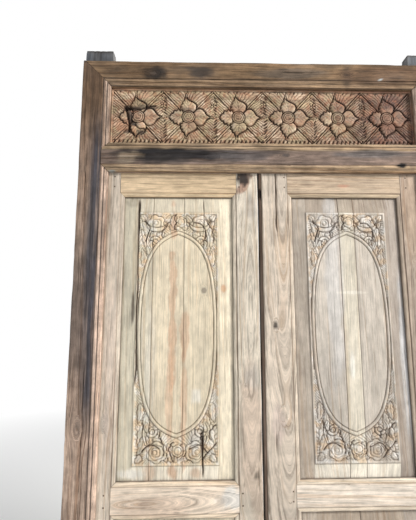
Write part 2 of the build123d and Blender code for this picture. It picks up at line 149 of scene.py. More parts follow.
def markMask(x, z, mark):
    turn = mark.get("turn", 0.0)
    offX, offZ = x - mark["at"][0], z - mark["at"][1]
    dx = (offX * cos(turn) + offZ * sin(turn)) / mark["size"][0]
    dz = (offZ * cos(turn) - offX * sin(turn)) / mark["size"][1]
    away = np.hypot(dx, dz)
    if mark.get("square"):
        away = np.maximum(abs(dx), abs(dz))
    ragged = layeredNoise(x * mark.get("fine", 45), z * mark.get("long", 14), mark["seed"], 4) - 0.5
    away = away + ragged * mark.get("ragged", 0.8)
    soft = mark.get("soft", 0.35)
    return smoothStep(1 + soft, 1 - soft, away) * mark["strength"]


def paint(tint, x, z, marks):
    for mark in marks:
        tint = mix(tint, mark["colour"], markMask(x, z, mark))
    return tint


# Meshes
def makeMesh(name, points, faces, layers):
    mesh = bpy.data.meshes.new(name)
    mesh.from_pydata(points.tolist(), [], faces)
    count = len(points)
    tint = np.ones((count, 4))
    tint[:, :3] = layers["tint"]
    kinds = (
        ("tint", "FLOAT_COLOR", "color", tint),
        ("grain", "FLOAT_VECTOR", "vector", layers["grain"]),
        ("dirtAndShadow", "FLOAT", "value", layers["dirtAndShadow"]),
    )
    for title, kind, field, values in kinds:
        flat = np.ascontiguousarray(values, dtype=np.float32).ravel()
        mesh.attributes.new(title, kind, "POINT").data.foreach_set(field, flat)
    mesh.polygons.foreach_set("use_smooth", [True] * len(mesh.polygons))
    mesh.update()
    piece = bpy.data.objects.new(name, mesh)
    bpy.context.scene.collection.objects.link(piece)
    return piece


def facesOut(piece, angle=38):
    work = bmesh.new()
    work.from_mesh(piece.data)
    bmesh.ops.recalc_face_normals(work, faces=work.faces)
    work.to_mesh(piece.data)
    work.free()
    piece.data.set_sharp_from_angle(angle=radians(angle))
    piece.data.update()


def loftPiece(name, axis, across, depth, along, wood, marks=()):
    # Section loops (stations by points) joined into a closed, worn bar along "x" or "z".
    stations, count = across.shape
    nextC, nextY = np.roll(across, -1, 1), np.roll(depth, -1, 1)
    area = (across * nextY - nextC * depth).sum(1, keepdims=True)
    edgeC, edgeY = nextC - np.roll(across, 1, 1), nextY - np.roll(depth, 1, 1)
    length = np.maximum(np.hypot(edgeC, edgeY), 1e-6)
    inC, inY = -edgeY / length * np.sign(area), edgeC / length * np.sign(area)
    ring = ringField(along, across, depth, wood)
    seed = wood["seed"]
    grooves = layeredNoise(ring * 420, along * 7, seed, 3)
    waves = layeredNoise(along * 7, across * 14 + depth * 9, seed + 2, 3)
    wear = wood.get("relief", 0.0011) * smoothStep(0.45, 0.85, grooves)
    wear = wear + wood.get("waves", 0.0016) * smoothStep(0.4, 0.95, waves)
    atFront = depth < depth.min() + 0.014
    for gap, sink in crackGaps(along, across, wood, 0.006, 14):
        wear = wear + sink * (gap * atFront)
    dirtAndShadow = np.clip(smoothStep(0.5, 0.8, grooves) * 0.5 + np.clip(wear - 0.0025, 0, 1) * 160, 0, 1)
    dirtAndShadow[[0, -1]] = 1.0
    across, depth = across + inC * wear, depth + inY * wear
    order = (along, depth, across) if axis == "x" else (across, depth, along)
    points = np.stack(order, -1)
    tint = np.broadcast_to(np.asarray(wood["colour"], float), points.shape)
    tint = wood["shade"](tint, across, depth, along) if "shade" in wood else tint
    tint = paint(tint, points[..., 0], points[..., 2], marks)
    grain = np.stack((ring, along + 0.37 * seed, 3.1 * seed + depth), -1)
    index = np.arange(stations * count).reshape(stations, count)
    right = np.roll(index, -1, 1)
    quads = np.stack((index[:-1], index[1:], right[1:], right[:-1]), -1).reshape(-1, 4).tolist()
    middle = stations * count
    for end, row in enumerate((index[0], index[-1])):
        quads += [[int(a), int(b), middle + end] for a, b in zip(row, np.roll(row, -1))]

    def capped(values):
        # The values of all points, then one for the middle of each end.
        ends = [values[end].mean(0, keepdims=True).reshape(1, -1) for end in (0, -1)]
        return np.concatenate((values.reshape(middle, -1), *ends))

    layers = {"tint": capped(tint), "grain": capped(grain), "dirtAndShadow": capped(dirtAndShadow[..., None])[:, 0]}
    piece = makeMesh(name, capped(points), quads, layers)
    facesOut(piece)
    return piece


def blockPiece(name, low, high, wood, marks=(), step=0.006):
    # A plain worn upright block as a loft with eased arrises.
    (x0, y0, z0), (x1, y1, z1) = low, high
    loop = roundedLoop(x0, x1, y0, y1, min(joinery["roundOver"], (x1 - x0) / 6), step)
    rows = np.linspace(z0, z1, max(3, int((z1 - z0) / (2 * step)) + 1))
    ease = np.clip(np.minimum(rows - z0, z1 - rows) / 0.002, 0, 1)
    shrink = 1 - (1 - ease) * 0.0015 / min(x1 - x0, y1 - y0)
    across = (loop[:, 0] - (x0 + x1) / 2)[None] * shrink[:, None] + (x0 + x1) / 2
    depth = (loop[:, 1] - (y0 + y1) / 2)[None] * shrink[:, None] + (y0 + y1) / 2
    return loftPiece(name, "z", across, depth, np.broadcast_to(rows[:, None], across.shape), wood, marks)


def roundedLoop(c0, c1, y0, y1, radius, step):
    points = []
    corners = ((c1, y0, -pi / 2), (c1, y1, 0), (c0, y1, pi / 2), (c0, y0, pi))
    for c, y, start in corners:
        centreC = c - radius if c == c1 else c + radius
        centreY = y + radius if y == y0 else y - radius
        for turn in (0, pi / 4, pi / 2):
            points.append((centreC + radius * cos(start + turn), centreY + radius * sin(start + turn)))
    return spread(points, step)


def spread(points, step):
    # Points added on the long sides of a closed loop.
    result = []
    for a, b in zip(points, points[1:] + points[:1]):
        count = max(1, int(hypot(b[0] - a[0], b[1] - a[1]) / step))
        result += [(a[0] + (b[0] - a[0]) * k / count, a[1] + (b[1] - a[1]) * k / count) for k in range(count)]
    return np.array(result)


# Edge profiles: depth below the face, by distance from the sight line
def frameProfile(away):
    w = joinery["frameMoulding"]
    drop = joinery["frameMouldingDrop"]
    at = np.array([0, 0.03, 0.11, 0.29, 0.31, 0.36, 0.42, 0.48, 0.53, 0.55,
                   0.62, 0.70, 0.78, 0.86, 0.93, 0.99, 1.0, 1.04, 1.10])
    sunk = np.array([10, 8, 6.2, 5.4, 4.4, 2.6, 2.0, 2.7, 4.4, 4.6, 2.0, 0.8, 0.4, 0.7, 1.6, 3.2, 4.2, 3.2,
                     0.15])
    return np.interp(away, at * w, sunk / 10 * drop)


def leafProfile(away):
    w = joinery["leafMoulding"]
    at = np.array([0, 0.05, 0.14, 0.28, 0.44, 0.66, 0.84, 0.9, 0.94, 1.0, 1.06]) * w
    sunk = np.array([8, 6.0, 4.6, 3.5, 2.8, 2.4, 2.4, 2.9, 3.1, 1.6, 0.1]) / 8 * joinery["leafMouldingDrop"]
    return np.interp(away, at, sunk)


def faceColumns(width, edge, fine, coarse):
    # Distances across a face: close together over the moulding, wider on the flat.
    fineOnes = np.arange(0, edge, fine)
    rest = np.linspace(edge, width, max(2, int((width - edge) / coarse) + 1))
    return np.concatenate((fineOnes, rest))


def endRound(away, radius):
    near = np.clip(away, 0, radius)
    return radius - np.sqrt(radius**2 - (radius - near) ** 2)


def stationsFor(low, high, step, joints):
    # Rows along an upright, with extra ones where a mitre starts and ends.
    rows = list(np.linspace(low, high, int((high - low) / step) + 1))
    for joint in joints:
        rows += list(np.linspace(joint[0], joint[1], 9)) + [joint[0] - 1e-4, joint[1] + 1e-4]
    return np.unique(np.round([row for row in rows if low <= row <= high], 5))


def uprightMember(name, side, spans, layer, profile, edge, joints, cuts, wood, marks=(), roundBack=None):
    # side: +1 where the outer edge lies at larger x. spans: x from the sight line to the outer edge, z, y.
    # cuts: how far the front layer is cut back from the sight line at a height, and how far the wood
    # behind it. roundBack: the outer side where it isn't flat.
    (sight, outer), (low, high), (y0, y1) = spans
    cut, backInner = cuts
    width = abs(outer - sight)
    away = faceColumns(width, edge * 1.12, meshSteps["moulding"], meshSteps["flat"])
    faceDepth = profile(away) + endRound(width - away, joinery["roundOver"])
    rows = stationsFor(low, high, meshSteps["rows"], joints)
    outerSide, backStart = [(width, d) for d in np.linspace(joinery["roundOver"], y1 - y0, 10)[1:-1]], width
    if roundBack:
        outerSide, backStart = roundBack[:-1], roundBack[-1][0]
    sections = []
    for row in rows:
        gone = cut(row)
        start = max(gone, 0)
        top = np.interp(start, away, faceDepth)
        c = np.where(away < start, start, away)
        y = np.where(away < start, top + (layer - top) * (start - away) / max(start, 1e-6), faceDepth)
        wall = np.linspace(layer, y[0], 4)[:-1]
        inner = backInner(row)
        ledge = np.linspace(inner, start, 4)[:-1]
        innerSide = np.linspace(y1 - y0, layer, 9)[:-1]
        backFace = np.linspace(backStart, inner, 14)[:-1]
        loop = list(zip(c, y)) + list(outerSide) + [(a, y1 - y0) for a in backFace]
        loop += [(inner, d) for d in innerSide] + [(a, layer) for a in ledge] + [(start, d) for d in wall]
        sections.append(loop)
    sections = np.array(sections)
    across = sight + side * sections[..., 0]
    depth = y0 + sections[..., 1]
    along = np.broadcast_to(rows[:, None], across.shape)
    return loftPiece(name, "z", across, depth, along, wood, marks)


def levelMember(name, spans, layer, faceDepth, edges, frontEnds, backSpan, backEnds, wood, marks=(),
                step=0.012):
    # A rail, from spans in z and y: its front layer runs out to frontEnds(z), the wood behind it fills
    # backSpan between backEnds.
    (low, high), (y0, y1) = spans
    lowEdge, highEdge = edges
    fine, flatCount = meshSteps["moulding"], int((high - low - lowEdge - highEdge) / meshSteps["flat"]) + 1
    middle = np.linspace(low + lowEdge, high - highEdge, max(2, flatCount))
    z = gridOf(np.arange(low, low + lowEdge, fine), middle, high - np.arange(0, highEdge, fine)[::-1])
    face = [(a, y0 + faceDepth(a), True) for a in z]
    loop = list(face)
    loop += [(high, d, True) for d in np.linspace(face[-1][1], y0 + layer, 4)[1:]]
    loop += [(a, y0 + layer, False) for a in np.linspace(high, backSpan[1], 3)[1:]]
    loop += [(backSpan[1], d, False) for d in np.linspace(y0 + layer, y1, 9)[1:]]
    loop += [(a, y1, False) for a in np.linspace(backSpan[1], backSpan[0], 16)[1:]]
    loop += [(backSpan[0], d, False) for d in np.linspace(y1, y0 + layer, 9)[1:]]
    loop += [(a, y0 + layer, True) for a in np.linspace(backSpan[0], low, 3)[1:]]
    loop += [(low, d, True) for d in np.linspace(y0 + layer, face[0][1], 4)[1:-1]]
    ends = np.array([frontEnds(a) if inFront else backEnds for a, d, inFront in loop])
    shape = np.array([(a, d) for a, d, inFront in loop])
    shares = np.linspace(0, 1, int((ends[:, 1] - ends[:, 0]).max() / step) + 1)
    thin = 0.0014 / (ends[:, 1] - ends[:, 0]).max()
    shares = np.concatenate(([0, thin], shares[1:-1], [1 - thin, 1]))
    along = ends[None, :, 0] + shares[:, None] * (ends[:, 1] - ends[:, 0])[None]
    across = np.broadcast_to(shape[None, :, 0], along.shape)
    depth = np.broadcast_to(shape[None, :, 1], along.shape)
    return loftPiece(name, "x", across, depth, along, wood, marks)


# Wood finish: the node material reads the grain, tint and the layer of dirt and painted shadow laid on each
# piece.
# Its noises have a size across the rings and one along the grain.
noiseScales = {"blotches": (11, 3.5), "pores": (1900, 60), "mottle": (46, 19), "flecks": (300, 26)}


def woodMaterial(name, look):
    material = bpy.data.materials.new(name)
    material.use_nodes = True
    tree = material.node_tree
    tree.nodes.clear()

    def add(kind, **values):
        node = tree.nodes.new(kind)
        for key, value in values.items():
            if key.startswith("in_"):
                socket = int(key[3:]) if key[3:].isdigit() else key[3:]
                node.inputs[socket].default_value = value
            else:
                setattr(node, key, value)
        return node

    def link(source, target):
        tree.links.new(source, target)

    def attribute(title, output):
        return add("ShaderNodeAttribute", attribute_name=title).outputs[output]

    def stretched(scaleRing, scaleAlong):
        node = add("ShaderNodeVectorMath", operation="MULTIPLY", in_1=(scaleRing, scaleAlong, 1.0))
        link(grain, node.inputs[0])
        return node.outputs[0]

    def noise(vector, detail, rough, distort=0.0):
        values = {"in_Scale": 1.0, "in_Detail": detail, "in_Roughness": rough, "in_Distortion": distort}
        node = add("ShaderNodeTexNoise", **values)
        link(vector, node.inputs["Vector"])
        return node.outputs["Fac"]

    def ramp(value, low, high, toLow=0.0, toHigh=1.0):
        values = {"in_1": low, "in_2": high, "in_3": toLow, "in_4": toHigh}
        node = add("ShaderNodeMapRange", interpolation_type="SMOOTHSTEP", **values)
        link(value, node.inputs[0])
        return node.outputs[0]

    def math(kind, a, b):
        node = add("ShaderNodeMath", operation=kind)
        for socket, value in zip(node.inputs, (a, b)):
            if isinstance(value, (int, float)):
                socket.default_value = value
            else:
                link(value, socket)
        return node.outputs[0]

    def blend(kind, factor, a, b):
        node = add("ShaderNodeMix", data_type="RGBA", blend_type=kind)
        for socket, value in ((node.inputs[0], factor), (node.inputs[6], a), (node.inputs[7], b)):
            if isinstance(value, (int, float, tuple)):
                socket.default_value = value if not isinstance(value, tuple) else (*value, 1.0)
            else:
                link(value, socket)
        return node.outputs[2]

    def layOver(colour, other, mask, strength):
        return blend("MIX", math("MULTIPLY", mask, strength), colour, other)

    grain = attribute("grain", "Vector")
    tint = attribute("tint", "Color")
    dirtAndShadow = attribute("dirtAndShadow", "Fac")
    fibres = noise(stretched(look["fibre"], look["fibre"] / 55), 5, 0.65)
    rings = noise(stretched(look["rings"], 1.3), 3, 0.55, 0.25)
    streaks = noise(stretched(look["rings"] / 5, 2.2), 3, 0.6)
    blotches = noise(stretched(*noiseScales["blotches"]), 4, 0.6)
    pores = noise(stretched(*noiseScales["pores"]), 2, 0.5)
    mottle = noise(stretched(*noiseScales["mottle"]), 4, 0.62)
    flecks = noise(stretched(*noiseScales["flecks"]), 3, 0.6)

    ringLines = ramp(rings, 0.54, 0.68)
    colour = blend("MULTIPLY", math("MULTIPLY", ringLines, look["ringDark"]), tint, look["ringColour"])
    fibreTone = ramp(fibres, 0.3, 0.7, 1 - look["contrast"], 1 + look["contrast"])
    streakTone = ramp(streaks, 0.3, 0.7, 1 - 0.7 * look["contrast"], 1 + 0.7 * look["contrast"])
    tone = add("ShaderNodeVectorMath", operation="SCALE")
    link(colour, tone.inputs[0])
    mottleTone = ramp(mottle, 0.3, 0.7, 1 - look["mottle"], 1 + look["mottle"])
    link(math("MULTIPLY", math("MULTIPLY", fibreTone, streakTone), mottleTone), tone.inputs[3])
    colour = layOver(tone.outputs[0], look["grey"], ramp(blotches, 0.45, 0.75), look["greying"])
    colour = layOver(colour, look["dirtAndShadowColour"], ramp(pores, 0.66, 0.74), look["pores"])
    colour = layOver(colour, look["dirtAndShadowColour"], ramp(flecks, 0.66, 0.76), look["flecks"])
    # the layer holds real dirt of grain and cracks, and painted shadow in carved ditches, grooves and creases
    dirtAndShadowShare = math("MULTIPLY", dirtAndShadow, ramp(blotches, 0.2, 0.7, look["dirtAndShadow"], 1.0))
    colour = blend("MIX", math("MINIMUM", dirtAndShadowShare, 0.93), colour, look["dirtAndShadowColour"])

    height = math("ADD", math("MULTIPLY", fibres, 0.6), math("MULTIPLY", ringLines, -0.35))
    height = math("SUBTRACT", height, math("MULTIPLY", ramp(pores, 0.66, 0.74), 0.3))
    bump = add("ShaderNodeBump", in_Strength=look["bump"], in_Distance=0.0012)
    link(height, bump.inputs["Height"])
    shader = add("ShaderNodeBsdfPrincipled")
    shader.inputs["Specular IOR Level"].default_value = look["gloss"]
    link(ramp(fibres, 0.3, 0.7, look["rough"] - 0.07, look["rough"] + 0.07), shader.inputs["Roughness"])
    link(colour, shader.inputs["Base Color"])
    link(bump.outputs["Normal"], shader.inputs["Normal"])
    output = add("ShaderNodeOutputMaterial")
    link(shader.outputs[0], output.inputs[0])
    return material


woodLooks = {
    "frame_wood": {
        "fibre": 620, "rings": 150, "ringDark": 0.6, "ringColour": (0.42, 0.30, 0.20), "contrast": 0.36,
        "greying": 0.16, "grey": (0.30, 0.26, 0.235), "pores": 0.5, "dirtAndShadow": 0.55,
        "dirtAndShadowColour": (0.016, 0.011, 0.008), "bump": 0.9, "rough": 0.8, "gloss": 0.25, "mottle": 0.24,
        "flecks": 0.55,
    },
    "carved_wood": {
        "fibre": 700, "rings": 170, "ringDark": 0.35, "ringColour": (0.58, 0.38, 0.25), "contrast": 0.24,
        "greying": 0.12, "grey": (0.50, 0.42, 0.34), "pores": 0.3, "dirtAndShadow": 0.9,
        "dirtAndShadowColour": (0.026, 0.014, 0.009), "bump": 0.6, "rough": 0.76, "gloss": 0.28, "mottle": 0.2,
        "flecks": 0.35,
    },
    "leaf_wood": {
        "fibre": 560, "rings": 130, "ringDark": 0.42, "ringColour": (0.64, 0.46, 0.30), "contrast": 0.19,
        "greying": 0.1, "grey": (0.50, 0.46, 0.41), "pores": 0.35, "dirtAndShadow": 0.75,
        "dirtAndShadowColour": (0.06, 0.038, 0.026), "bump": 0.7, "rough": 0.8, "gloss": 0.22, "mottle": 0.13,
        "flecks": 0.4,
    },
    "panel_wood": {
        "fibre": 560, "rings": 120, "ringDark": 0.33, "ringColour": (0.72, 0.54, 0.37), "contrast": 0.15,
        "greying": 0.1, "grey": (0.55, 0.51, 0.45), "pores": 0.3, "dirtAndShadow": 0.9,
        "dirtAndShadowColour": (0.075, 0.045, 0.030), "bump": 0.6, "rough": 0.82, "gloss": 0.2, "mottle": 0.12,
        "flecks": 0.35,
    },
}
materials = {slot: woodMaterial(slot, look) for slot, look in woodLooks.items()}
print("materials made")


def finishPiece(piece, body, slot, *nodes):
    piece.data.materials.clear()
    piece.data.materials.append(materials[slot])
    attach(piece, body)
    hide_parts(*nodes)
    return piece


def join(pieces):
    if len(pieces) == 1:
        return pieces[0]
    bpy.ops.object.select_all(action="DESELECT")
    for piece in pieces:
        piece.select_set(True)
    bpy.context.view_layer.objects.active = pieces[0]
    bpy.ops.object.join()
    return pieces[0]


# The frame
frameLook = {
    "brown": (0.155, 0.092, 0.052),
    "tan": (0.52, 0.385, 0.30),
    "pale": (0.66, 0.49, 0.385),
    "blueBlack": (0.050, 0.050, 0.062),
    "hornGrey": (0.100, 0.108, 0.120),
    "hornRim": (0.22, 0.22, 0.22),
    "bead": (0.34, 0.23, 0.14),
    "railPurple": (0.205, 0.148, 0.118),
    "railGold": (0.40, 0.285, 0.175),
    # dark of knots, and painted shade in the creases of the mouldings
    "sootAndShade": (0.038, 0.032, 0.030),
}


def jambCut(row):
    mould = joinery["frameMoulding"]
    if row >= headLow:
        return row - headLow
    if row >= railLow and row <= railHigh:
        return min(mould, row - railLow, railHigh - row)
    if row <= sillHigh:
        return min(mould, sillHigh - row)
    return 0.0


def jambBack(row):
    return 0.0 if row > railHigh else joinery["frameMoulding"]


def jambShade(side):
    def shade(tint, across, depth, along):
        away = abs(across) - innerX
        top = smoothStep(1.55, 2.1, along + 0.25 * (layeredNoise(along * 3, away * 9, 4) - 0.5))
        tint = mix(tint, frameLook["brown"], top * 0.9)
        low = smoothStep(1.2, 0.7, along)
        tint = mix(tint, frameLook["tan"], low * 0.6)
        inner = smoothStep(0.055, 0.03, away) * smoothStep(1.75, 1.4, along)
        tint = mix(tint, frameLook["tan"], inner * 0.35)
        face = smoothStep(front + 0.02, front + 0.004, depth)
        if side < 0:
            dusk = smoothStep(1.0, 1.2, along) * smoothStep(1.62, 1.4, along) * smoothStep(0.04, 0.06, away)
            tint = mix(tint, (0.15, 0.115, 0.098), dusk * 0.7)
            ragged = 0.018 * (layeredNoise(along * 5, away * 40, 9, 4) - 0.5)
            blue = smoothStep(0.082, 0.05, away + ragged) * smoothStep(0.027, 0.033, away)
            span = smoothStep(0.86, 1.05, along) * smoothStep(2.12, 1.9, along)
            broken = smoothStep(0.28, 0.5, layeredNoise(away * 120, along * 4, 21, 3))
            tint = mix(tint, frameLook["blueBlack"], blue * span * (0.45 + 0.5 * broken) * face)
        moulding = smoothStep(0.029, 0.026, away) * face
        tint = mix(tint, frameLook["pale"], moulding * 0.75)
        # painted shade in the quirk and at the edge step of the moulding
        line = smoothStep(0.0035, 0.001, abs(away - 0.0148)) + smoothStep(0.003, 0.001, abs(away - 0.029))
        return mix(tint, frameLook["sootAndShade"], np.clip(line, 0, 1) * 0.75 * face)
    return shade


def makeJamb(side):
    hand = "left" if side < 0 else "right"
    name = hand + "Jamb"
    knots = [(0.92, side * 0.66, 0.012)]
    if hand == "right":
        knots = [(1.35, side * 0.65, 0.010), (0.5, side * 0.64, 0.014)]
    wood = {
        "colour": (0.33, 0.24, 0.185), "seed": 3 if side < 0 else 8, "shade": jambShade(side),
        "pith": (side * 0.83, front + 0.16, 0.004, 0.01), "knots": knots,
        "cracks": [(side * 0.645, 0.25, 1.15, 0.0024, 0.005), (side * 0.672, 1.3, 1.95, 0.002, 0.004)],
        "relief": 0.0016,
    }
    mould = joinery["frameMoulding"]
    joints = [(headLow, headHigh), (railLow, railLow + mould), (railHigh - mould, railHigh)]
    joints += [(sillHigh - mould, sillHigh), (railHigh, railHigh + 2e-4)]
    spans = ((side * innerX, side * outerX), (0, headHigh), (front, back))
    bar = uprightMember(
        name, side, spans, joinery["frameLip"], frameProfile, mould + joinery["frameQuirk"], joints,
        (jambCut, jambBack), wood,
    )
    hornWood = dict(wood, colour=frameLook["hornGrey"], shade=hornShade)
    lowX, highX = sorted((side * innerX, side * outerX))
    hornFront, hornBack = joinery["hornDepths"]
    low = (lowX + 0.001, front + hornFront, headHigh - 0.004)
    high = (highX - 0.001, front + hornBack, hornTop)
    horn = blockPiece(name + "Horn", low, high, hornWood)
    return finishPiece(join([bar, horn]), "frame", "frame_wood", hand + "_jamb")


def hornShade(tint, across, depth, along):
    rim = smoothStep(hornTop - 0.007, hornTop - 0.001, along) + smoothStep(0.008, 0.001, abs(across) - innerX)
    return mix(tint, frameLook["hornRim"], np.clip(rim, 0, 1) * 0.7)


def levelShade(bands, face=front):
    # Colour bands by height, softened by long streaks.
    def shade(tint, across, depth, along):
        wander = 0.004 * (layeredNoise(along * 4, across * 60, 5) - 0.5)
        inFront = smoothStep(face + 0.02, face + 0.006, depth)
        for low, high, colour, strength in bands:
            height = across + wander
            above = smoothStep(low - 0.0015, low + 0.0015, height)
            below = smoothStep(high + 0.0015, high - 0.0015, height)
            tint = mix(tint, colour, above * below * strength * inFront)
        return tint
    return shade


def runsTo(inwards):
    # Ends of a rail's front layer, which runs past the opening by inwards(z) on both sides.
    return lambda z: (-innerX - inwards(z), innerX + inwards(z))


mould = joinery["frameMoulding"]
for side in (-1, 1):
    makeJamb(side)

headMarks = [
    stain((-0.43, 2.229), (0.045, 0.026), (0.020, 0.016, 0.014), 0.95, 2, ragged=1.2, fine=30, long=40),
    stain((-0.24, 2.238), (0.06, 0.022), (0.024, 0.018, 0.015), 0.85, 5, ragged=1.2, fine=18, long=40),
    stain((-0.52, 2.24), (0.10, 0.03), (0.10, 0.062, 0.036), 0.6, 6, fine=14, long=50),
    stain((0.10, 2.235), (0.16, 0.02), (0.10, 0.085, 0.072), 0.6, 7, fine=10, long=60),
    stain((0.33, 2.225), (0.018, 0.04), frameLook["sootAndShade"], 0.6, 8, fine=40, long=40),
    stain((0.50, 2.235), (0.20, 0.05), (0.115, 0.066, 0.038), 0.75, 9, fine=10, long=30),
    stain((0.462, 2.214), (0.007, 0.005), (0.42, 0.50, 0.52), 0.8, 3, fine=80, long=80),
]
headWood = {
    "colour": (0.190, 0.120, 0.066), "seed": 14, "pith": (headLow - 0.12, front + 0.10, 0.0, 0.02),
    "relief": 0.0016,
    "knots": [(-0.43, 2.23, 0.010), (0.33, 2.232, 0.008)],
    "cracks": [(headLow + 0.062, -0.15, 0.28, 0.002, 0.004)],
    # the dark bands are painted shade in the moulding's quirks and along its lower edge
    "shade": levelShade([(headLow + 0.0005, headLow + 0.028, frameLook["bead"], 0.8),
                         (headLow + 0.0125, headLow + 0.0160, frameLook["sootAndShade"], 0.55),
                         (headLow + 0.028, headLow + 0.031, frameLook["sootAndShade"], 0.7),
                         (headLow - 0.001, headLow + 0.003, frameLook["sootAndShade"], 0.8)]),
}
head = levelMember(
    "headRail", ((headLow, headHigh), (front, back)), joinery["frameLip"],
    lambda z: frameProfile(z - headLow) + endRound(headHigh - z, joinery["roundOver"]),
    (mould + 0.003, 0.004), runsTo(lambda z: z - headLow), (headLow, headHigh), (-innerX, innerX),
    headWood, headMarks,
)
finishPiece(head, "frame", "frame_wood", "head_rail")

railMarks = [
    stain((-0.33, 1.893), (0.20, 0.028), (0.017, 0.015, 0.016), 1.0, 12, ragged=1.3, fine=12, long=55),
    stain((-0.515, 1.885), (0.045, 0.026), (0.30, 0.235, 0.17), 0.85, 13, ragged=1.3, fine=25, long=50),
    stain((-0.08, 1.896), (0.11, 0.022), (0.085, 0.075, 0.075), 0.75, 15, ragged=1.2, fine=12, long=50),
    stain((0.079, 1.898), (0.012, 0.008), frameLook["sootAndShade"], 0.9, 16, fine=60, long=60),
    stain((0.42, 1.905), (0.13, 0.015), (0.13, 0.12, 0.118), 0.7, 17, ragged=1.2, fine=12, long=50),
    stain((0.524, 1.8605), (0.020, 0.0085), (0.004, 0.003, 0.003), 1.0, 18, ragged=0.9, soft=0.15, fine=120,
          long=160),
    stain((-0.577, 1.835), (0.014, 0.004), (0.20, 0.26, 0.27), 0.6, 19, fine=60, long=90),
]
railWood = {
    "colour": frameLook["railPurple"], "seed": 23, "pith": (railLow - 0.05, front + 0.09, 0.012, 0.03),
    "relief": 0.0015,
    "knots": [(0.079, 1.898, 0.007), (-0.2, 1.89, 0.009)],
    "cracks": [(railLow + 0.071, -0.55, -0.1, 0.002, 0.004)],
    # the dark bands are painted shade in the moulding's quirks and along the lower edge
    "shade": levelShade([(railLow, railLow + 0.029, frameLook["railGold"], 0.8),
                         (railHigh - 0.029, railHigh, frameLook["railGold"], 0.85),
                         (railHigh - 0.031, railHigh - 0.028, (0.42, 0.34, 0.24), 0.7),
                         (railLow + 0.0125, railLow + 0.0155, frameLook["sootAndShade"], 0.5),
                         (railHigh - 0.016, railHigh - 0.0125, frameLook["sootAndShade"], 0.5),
                         (railLow, railLow + 0.004, (0.16, 0.09, 0.035), 0.7)]),
}
rail = levelMember(
    "transomRail", ((railLow, railHigh), (front, back)), joinery["frameLip"],
    lambda z: frameProfile(z - railLow) + frameProfile(railHigh - z), (mould + 0.003, mould + 0.003),
    runsTo(lambda z: min(mould, z - railLow, railHigh - z)), (railLow + mould, railHigh),
    (-rebateX, rebateX), railWood, railMarks,
)
finishPiece(rail, "frame", "frame_wood", "transom_rail")

sillWood = {
    "colour": (0.27, 0.20, 0.15), "seed": 31, "pith": (-0.03, front + 0.12, 0.01, 0.03), "relief": 0.0022,
    "waves": 0.003,
    "knots": [(0.2, 0.03, 0.008)], "cracks": [(0.028, -0.35, 0.1, 0.002, 0.004)],
    "shade": levelShade([(sillHigh - 0.029, sillHigh, (0.34, 0.26, 0.19), 0.7),
                         (-0.01, 0.02, (0.10, 0.075, 0.055), 0.6)]),
}
sill = levelMember(
    "doorSill", ((0.0, sillHigh), (front, back)), joinery["frameLip"],
    lambda z: frameProfile(sillHigh - z), (0.004, mould + 0.003),
    runsTo(lambda z: min(mould, sillHigh - z)), (0.0, sillHigh - mould), (-rebateX, rebateX), sillWood,
)
finishPiece(sill, "frame", "frame_wood", "threshold")
print("frame members made")


# Carving: a relief is a sheet of depths below the face, cut on a grid of columns and rows
def newRelief(x, z, depth):
    return {"x": x, "z": z, "depth": depth, "dirtAndShadow": np.zeros_like(depth), "shadow": 1.0}


def windowOf(relief, points, margin):
    low, high = points.min(0) - margin, points.max(0) + margin
    cols = slice(*np.searchsorted(relief["x"], (low[0], high[0])))
    rows = slice(*np.searchsorted(relief["z"], (low[1], high[1])))
    x, z = np.meshgrid(relief["x"][cols], relief["z"][rows])
    return rows, cols, x, z


def lineDistance(x, z, points):
    best = np.full(x.shape, 1e9)
    for (ax, az), (bx, bz) in zip(points[:-1], points[1:]):
        dx, dz = bx - ax, bz - az
        size = max(dx * dx + dz * dz, 1e-12)
        share = np.clip(((x - ax) * dx + (z - az) * dz) / size, 0, 1)
        best = np.minimum(best, np.hypot(x - ax - share * dx, z - az - share * dz))
    return best


def insideOf(x, z, points):
    inside = np.zeros(x.shape, bool)
    for (ax, az), (bx, bz) in zip(points, np.roll(points, -1, 0)):
        if az == bz:
            continue
        crosses = (az > z) != (bz > z)
        inside ^= crosses & (x < (bx - ax) * (z - az) / (bz - az) + ax)
    return inside


def insetIn(x, z, x0, x1, z0, z1):
    # How far each point lies inside a rectangle.
    return np.minimum(np.minimum(x - x0, x1 - x), np.minimum(z - z0, z1 - z))


def cutForm(relief, outline, top, edge=0.004, drop=0.0025, ditch=0.0026, sink=0.002, dome=0.0, dark=None):
    # A raised form with rounded edges, and a ditch cut round it that is darkened with painted shadow; its
    # rounded edges get a little painted shade.
    points = np.asarray(outline)
    rows, cols, x, z = windowOf(relief, points, ditch + 0.002)
    if x.size == 0:
        return
    away = lineDistance(x, z, np.vstack((points, points[:1])))
    inside = insideOf(x, z, points)
    depth, dirtAndShadow = relief["depth"][rows, cols], relief["dirtAndShadow"][rows, cols]
    slope = fadeOut(away, edge) ** 2
    form = top + drop * slope - dome * smoothStep(0, 0.012, away)
    around = fadeOut(away, ditch)
    relief["depth"][rows, cols] = np.where(inside, form, depth + sink * around)
    patches = 0.45 + 0.85 * smoothStep(0.35, 0.65, layeredNoise(x * 38, z * 38, 77, 2))
    if dark:  # the side named holds the deeper shadow
        offX, offZ = x - points[:, 0].mean(), z - points[:, 1].mean()
        facing = (offX * dark[0] + offZ * dark[1]) / np.maximum(np.hypot(offX, offZ), 1e-6)
        patches = 0.30 + 0.85 * smoothStep(-0.25, 0.35, facing)
    shadow = np.clip(relief["shadow"] * patches * np.clip(1.7 * around, 0, 1), 0, 1)
    relief["dirtAndShadow"][rows, cols] = np.where(inside, 0.3 * slope**2, np.maximum(dirtAndShadow, shadow))


